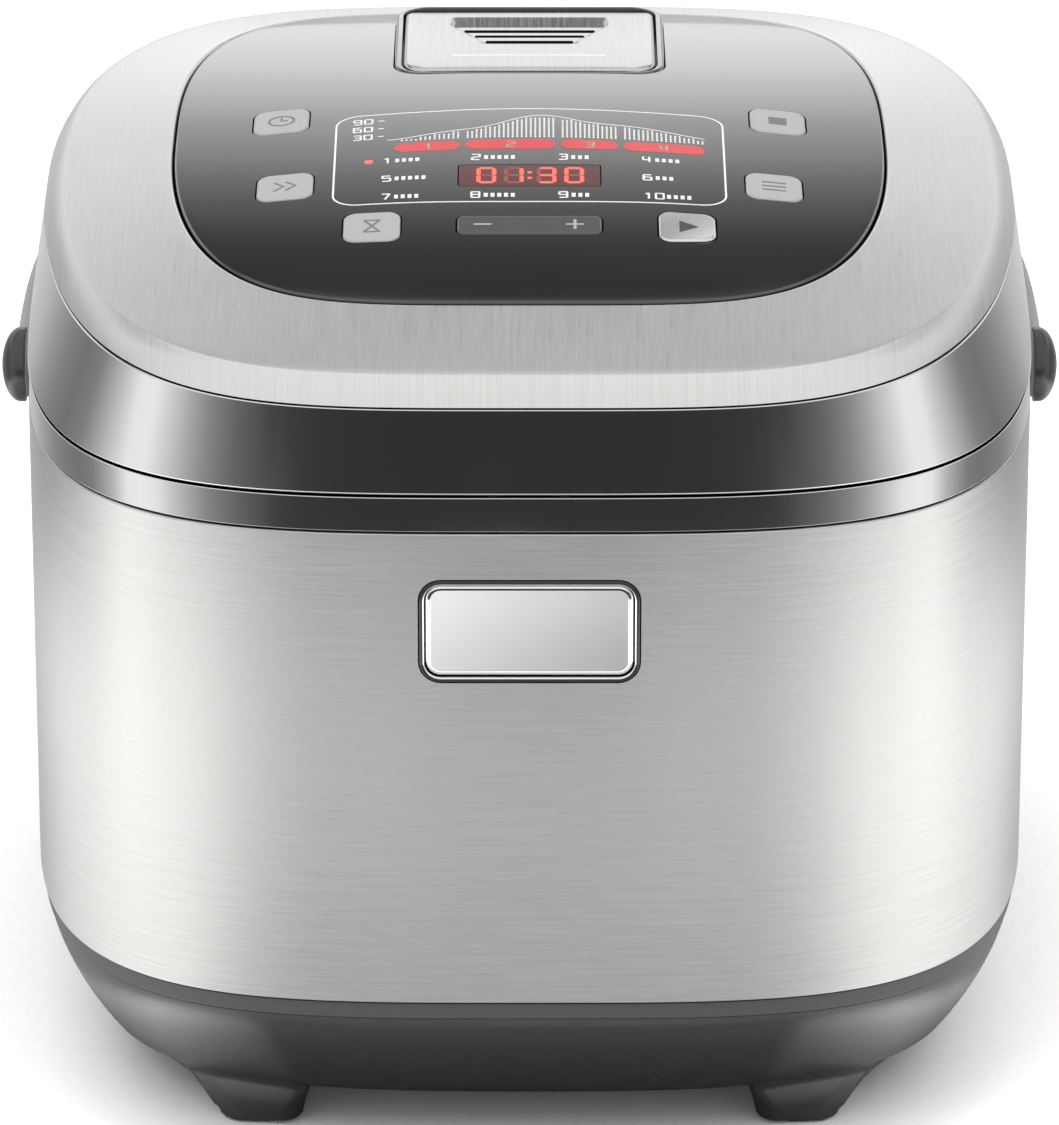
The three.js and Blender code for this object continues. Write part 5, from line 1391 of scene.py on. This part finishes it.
def makeGasket():
    low, high = span("inner_lid_gasket")
    inner, lip, outer, step = gasket["inner"], gasket["lip"], gasket["outer"], gasket["step"]
    profile = softened([(inner, low.z, 0.5), (outer, low.z, 0.7), (outer, high.z, 0.4), (lip, high.z, 0.1),
                        (lip, step, 0.1), (inner, step, 0.3)])
    finished(turned("lidGasket", profile, steps=160), sealSilicone, "inner_lid_gasket", sharp=40)


makePot()
makeWell()
makeHeaterPlate()
makeInnerLid()
makeGasket()
print("pot and lid inside ready")


plainLooks = {  # the finish of each slot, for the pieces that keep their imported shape
    "plain_steel": plainSteel, "aluminium": drawnAluminium, "silicone": sealSilicone,
    "circuit_board": boardGreen, "component_black": partBlack, "copper_winding": coilTape,
    "pot_coating": potCoating, "base_plastic": darkAbs, "frame_plastic": frameResin,
    "foot_rubber": padRubber, "bright_chrome": brightChrome,
}
for node, piece in frame["nodes"].items():
    if not piece.hide_render:
        piece.data.materials.clear()
        piece.data.materials.append(plainLooks[slotOf[node]])
print("frame pieces finished")


floorPaper = {"half": 9000, "thick": 20, "fibre": 2.5, "colours": ("#f1f1f1", "#f5f5f5")}

# What the polished walls mirror: grey by how far round the reflection turns from the front, in degrees
bandGreys = [
    (0, 47), (4, 50), (14, 52), (20, 56), (25, 66), (29, 80), (36, 97), (46, 128), (60, 182), (75, 229),
    (85, 227), (100, 173), (113, 122), (124, 111), (135, 126), (143, 142), (155, 168), (170, 186),
    (180, 190)]
collarGreys = [
    (0, 47), (8, 49), (14, 52), (17, 57), (20, 63), (23, 77), (28.5, 95), (38, 128), (50, 182), (61, 225),
    (70, 232), (78, 227), (88, 175), (103, 122), (115, 112), (134, 125), (144, 142), (159, 166),
    (180, 190)]
shellGreys = [
    (0, 166), (14, 168), (20, 180), (27, 190), (32, 202), (38, 216), (50, 236), (65, 245), (95, 240),
    (107, 232), (120, 224), (135, 208), (150, 178), (165, 150), (180, 145)]
# Brighter farther out, so the shell is even from top to bottom: gains ahead and gains to the sides
shellGain = {"distances": (30, 200, 320, 394), "ahead": (0.8, 1.25, 3.5, 2.3), "aside": (0.98, 1.2, 2.0, 1.5),
             "turns": (25, 60)}
# The tent lies on the floor from near to far; up to its turn it lights the shell, then the collar and the band
tent = {"near": 30, "turn": 402, "blend": 8, "collarTo": 600, "far": 8000, "wallHigh": 8.0,
        "wallEnds": (150, 156), "between": (200, 260, 320), "beyond": (560, 760, 1500), "shine": 0.72}
# The floor close by, which the bowl mirrors: light by the way round from the front, by share of the outline
bowlLights = [
    (0, 0.3), (19, 0.35), (28, 0.4), (29.5, 1.4), (32, 1.8), (36, 2.6), (41, 3.2), (45, 3.2), (50, 2.1),
    (56, 1.2), (66, 0.8), (80, 0.7), (180, 0.6)]
bowlFalls = [(0.5, 0.02), (0.74, 0.04), (0.8, 0.08), (0.86, 0.14), (0.94, 0.4), (1.02, 1.0), (1.12, 1.0)]
# The panel's grey by height above the camera's aim, in mm square to the view
panelGreys = [
    (76, 43), (83, 45), (86, 48), (89, 50), (92, 54), (95, 59), (98, 67), (100.5, 75), (103.5, 82),
    (106.5, 91), (109.5, 100), (112.5, 108), (115, 116), (118, 127), (121, 135), (124, 143), (127, 151),
    (130, 160), (133, 171), (136, 180), (139, 189), (142, 197), (145, 206), (148, 212), (151, 218),
    (155, 225), (162, 232)]


def litGrey(grey):  # the light of a grey between 0 and 255
    return ((grey / 255 + 0.055) / 1.055) ** 2.4


def greyAt(table, angle):  # the light that a wall of the tent's shine needs to look as grey as the table says
    return litGrey(np.interp(abs(angle), *zip(*table))) / tent["shine"]


def makeFloor():  # cotton paper: a matt white that keeps soft shadows
    half = floorPaper["half"]
    floor = block("studioFloor", (-half, -half, -floorPaper["thick"]), (half, half, 0))
    made, tree, shader = startMaterial("paper-white-backdrop", {"Roughness": 0.9})
    place = addNode(tree, "ShaderNodeTexCoord").outputs["Object"]
    fibre = addNode(tree, "ShaderNodeTexNoise", {"Vector": place, "Scale": 1 / (floorPaper["fibre"] * mm)})
    pale, white = [linear(colour) for colour in floorPaper["colours"]]
    shade = addNode(tree, "ShaderNodeValToRGB", {"Fac": fibre.outputs["Fac"]}, [(0.3, pale), (0.7, white)])
    tree.links.new(shade.outputs["Color"], shader.inputs["Base Color"])
    floor.data.materials.append(made)


def mirrorCard(name, points, faces, lights):  # a grey card that only reflections see
    mesh = bpy.data.meshes.new(name)
    mesh.from_pydata([tuple(p) for p in np.asarray(points, float) * mm], [], faces)
    colours = mesh.color_attributes.new("light", "FLOAT_COLOR", "POINT")
    for spot, light in zip(colours.data, lights):
        spot.color = (light, light, light, 1)
    card = linked(name, mesh)
    made = bpy.data.materials.new(name + "-lit")
    made.use_nodes = True
    tree = made.node_tree
    tree.nodes.clear()
    light = addNode(tree, "ShaderNodeAttribute", attribute_name="light").outputs["Color"]
    glow = addNode(tree, "ShaderNodeEmission", {"Color": light}).outputs[0]
    addNode(tree, "ShaderNodeOutputMaterial", {"Surface": glow})
    mesh.materials.append(made)
    card.visible_camera = card.visible_diffuse = card.visible_shadow = card.visible_transmission = False


def gridFaces(rows, columns):
    return [(r * columns + c, r * columns + c + 1, (r + 1) * columns + c + 1, (r + 1) * columns + c)
            for r in range(rows - 1) for c in range(columns - 1)]


def makeTent():
    # Rays leave the body's outline the way its walls reflect the camera, each one grey of the tables above
    fine = np.linspace(-math.pi / 2, math.pi / 2, 721)
    radius = reach(bodyPlan, fine)
    spots = np.column_stack([radius * np.cos(fine), centreY + radius * np.sin(fine)])
    outward = wallNormal(spots, bodyPlan)
    facing = np.degrees(np.arctan2(outward[:, 0], -outward[:, 1]))
    turns = np.concatenate([np.linspace(0, 36, 37), np.linspace(38, 180, 72)])
    turn, blend, far = tent["turn"], tent["blend"], tent["far"]
    distances = [tent["near"], *tent["between"], turn - blend, turn + blend, *tent["beyond"], far]
    for side, name in ((-1, "mirrorTentLeft"), (1, "mirrorTentRight")):
        points, lights = [], []
        for distance in distances:
            ahead, aside = [np.interp(distance, shellGain["distances"], shellGain[key])
                            for key in ("ahead", "aside")]
            for angle in turns:
                start = [np.interp(angle / 2, facing, spots[:, k]) for k in (0, 1)]
                way = (math.sin(math.radians(angle)), -math.cos(math.radians(angle)))
                points.append((side * (start[0] + way[0] * distance), start[1] + way[1] * distance, 1))
                gain = ahead + (aside - ahead) * np.interp(angle, shellGain["turns"], (0, 1))
                if distance < turn:
                    lights.append(greyAt(shellGreys, angle) * gain)
                else:
                    lights.append(greyAt(collarGreys if distance < tent["collarTo"] else bandGreys, angle))
        wallTops = np.interp(turns, tent["wallEnds"], (far * math.tan(math.radians(tent["wallHigh"])), 2))
        points += [(x, y, top) for (x, y, _), top in zip(points[-len(turns):], wallTops)]
        lights += lights[-len(turns):]
        mirrorCard(name, points, gridFaces(len(distances) + 1, len(turns)), lights)


def makeBowlCard():  # on the floor under the body's edge
    ways = np.radians(np.concatenate([np.linspace(0, 60, 61), np.linspace(62, 180, 60)]))
    radius = reach(bodyPlan, ways - math.pi / 2)
    around = np.interp(np.degrees(ways), *zip(*bowlLights))
    for side, name in ((-1, "mirrorBowlLeft"), (1, "mirrorBowlRight")):
        points = [(side * r * share * math.sin(way), centreY - r * share * math.cos(way), 0.5)
                  for share, _ in bowlFalls for r, way in zip(radius, ways)]
        lights = [light * fall for _, fall in bowlFalls for light in around]
        mirrorCard(name, points, gridFaces(len(bowlFalls), len(ways)), lights)


panelCard = {"distance": 9000, "half": 112, "rear": 99, "front": -122, "columns": 41, "rows": 60,
             "base": 0.008, "ventShare": 0.78, "ventBehind": 8, "ventBlur": 3}
backLight = {  # tables by elevation and by the angle to either side, in degrees
    "distance": 9600, "half": 75, "low": 0.5, "high": 43, "columns": 51, "rows": 44,
    "levels": [(0, 0.85), (12, 0.95), (18, 1.0), (25, 1.0), (30, 0.9), (35, 0.95), (36.3, 0.3), (41, 0.25),
               (43, 0.9)],
    "boost": [(29, 1), (32, 2.0), (34.5, 2.8), (36.3, 2.9), (37.2, 1.3), (38.5, 1)],
    "across": [(0, 1), (9, 1), (12, 0), (16, -0.5), (60, -0.5), (75, 0)]}
buttonCard = {"half": 42, "near": 492, "far": 601, "lights": (1.21, 0.24)}


def fresnel(cosine, ior):  # the share of light that smooth plastic mirrors
    inner = np.sqrt(1 - (1 - cosine ** 2) / ior ** 2)
    across = (cosine - ior * inner) / (cosine + ior * inner)
    along = (ior * cosine - inner) / (ior * cosine + inner)
    return (across ** 2 + along ** 2) / 2


def makePanelCard():  # far behind, where the glossy panel's mirrored rays land, so that its grey falls evenly
    across = np.linspace(-panelCard["half"], panelCard["half"], panelCard["columns"])
    along = centreY + np.linspace(panelCard["front"], panelCard["rear"], panelCard["rows"])
    x, y = [grid.ravel() for grid in np.meshgrid(across, along)]
    spots = np.column_stack([x, y, panelTop(x, y)])
    eye = np.array(bpy.context.scene.camera.location) / mm
    tilt = math.radians(cameraSetup["elevation"])
    up, ahead = np.array([0, math.sin(tilt), math.cos(tilt)]), np.array([0, math.cos(tilt), -math.sin(tilt)])
    normals = domeNormal(spots)
    normals /= np.linalg.norm(normals, axis=1)[:, None]
    sight = (spots - eye) / np.linalg.norm(spots - eye, axis=1)[:, None]
    cosine = -(sight * normals).sum(1)
    ways = sight + 2 * cosine[:, None] * normals
    rise = ((spots - eye) @ up) / ((spots - eye) @ ahead) * cameraSetup["distance"] / mm
    grey = litGrey(np.interp(rise, *zip(*panelGreys)))
    shine = 1 - (1 - fresnel(cosine, gloss["ior"])) * (1 - fresnel(cosine, gloss["coatIor"]))
    low, high = span("vent_cap")  # the steel cap mirrors more than the panel does
    inside = np.minimum(high.x - abs(x), np.minimum(y - low.y, high.y + panelCard["ventBehind"] - y))
    dimmed = 1 - (1 - panelCard["ventShare"]) * np.clip(inside / panelCard["ventBlur"] + 0.5, 0, 1)
    mirrorCard("mirrorPanel", spots + ways * panelCard["distance"], gridFaces(len(along), len(across)),
               (grey - panelCard["base"]) / shine * dimmed)


def makeBackLight():  # behind the panel's card, for the steel around it
    azimuths = np.linspace(-backLight["half"], backLight["half"], backLight["columns"])
    heights = np.linspace(backLight["low"], backLight["high"], backLight["rows"])
    points, lights = [], []
    for height in heights:
        glow, boost = [np.interp(height, *zip(*backLight[key])) for key in ("levels", "boost")]
        for azimuth in azimuths:
            e, a = math.radians(height), math.radians(azimuth)
            way = np.array([math.cos(e) * math.sin(a), math.cos(e) * math.cos(a), math.sin(e)])
            points.append(backLight["distance"] * way)
            lights.append(glow * (1 + (boost - 1) * np.interp(abs(azimuth), *zip(*backLight["across"]))))
    mirrorCard("mirrorBackLight", points, gridFaces(len(heights), len(azimuths)), lights)


def makeButtonCard():  # just in front on the floor: white to grey from corner to corner of the release button
    card = buttonCard
    points = [(x, -y, 2) for y in (card["near"], card["far"]) for x in (-card["half"], card["half"])]
    high, low = card["lights"]
    middle = (high + low) / 2
    mirrorCard("mirrorButton", points, [(0, 1, 3, 2)], [middle, low, high, middle])


lamps = {  # soft boxes, in metres and watts
    "keyLight": {"place": (-0.9, -1.2, 2.2), "aim": (0, 0, 0.1), "size": (1.6, 1.2), "power": 22},
    "fillLight": {"place": (1.1, -1.0, 2.0), "aim": (0, 0, 0.1), "size": (1.4, 1.2), "power": 14},
    "overheadLight": {"place": (0, 0, 2.8), "aim": (0, 0, 0), "size": (3, 3), "power": 40}}


def makeLight(name, lamp):
    light = bpy.data.lights.new(name, "AREA")
    light.shape, light.energy = "RECTANGLE", lamp["power"]
    light.size, light.size_y = lamp["size"]
    made = linked(name, light)
    made.location = lamp["place"]
    made.rotation_euler = (Vector(lamp["place"]) - Vector(lamp["aim"])).to_track_quat("Z", "Y").to_euler()
    made.visible_camera = made.visible_glossy = False


# The studio's walls and ceiling: grey by height, from straight down at 0 to straight up at 1
sky = {"front": [(0.0, 1.0), (0.5, 1.0), (1.0, 1.05)], "blend": 0.15,
       "rear": [(0.0, 1.0), (0.5, 0.85), (0.68, 0.95), (0.88, 1.05), (1.0, 1.05)]}


def makeWorld():
    world = bpy.data.worlds.new("studio")
    bpy.context.scene.world = world
    world.use_nodes = True
    tree = world.node_tree
    tree.nodes.clear()
    direction = addNode(tree, "ShaderNodeTexCoord").outputs["Generated"]
    parts = addNode(tree, "ShaderNodeSeparateXYZ", {0: direction})
    front, rear = [addNode(tree, "ShaderNodeValToRGB", {"Fac": parts.outputs["Z"]},
                           [(place, (grey, grey, grey, 1)) for place, grey in sky[way]]).outputs["Color"]
                   for way in ("front", "rear")]
    side = addNode(tree, "ShaderNodeMapRange", {
        "Value": parts.outputs["Y"], "From Min": -sky["blend"], "From Max": sky["blend"]}).outputs[0]
    mixed = addNode(tree, "ShaderNodeMix", {0: side, 6: front, 7: rear}, data_type="RGBA").outputs[2]
    background = addNode(tree, "ShaderNodeBackground", {"Color": mixed, "Strength": 1.0})
    addNode(tree, "ShaderNodeOutputWorld", {"Surface": background.outputs[0]})


makeFloor()
makeTent()
makeBowlCard()
makePanelCard()
makeBackLight()
makeButtonCard()
makeWorld()
for name, lamp in lamps.items():
    makeLight(name, lamp)
print("stage ready")

bpy.context.view_layer.update()
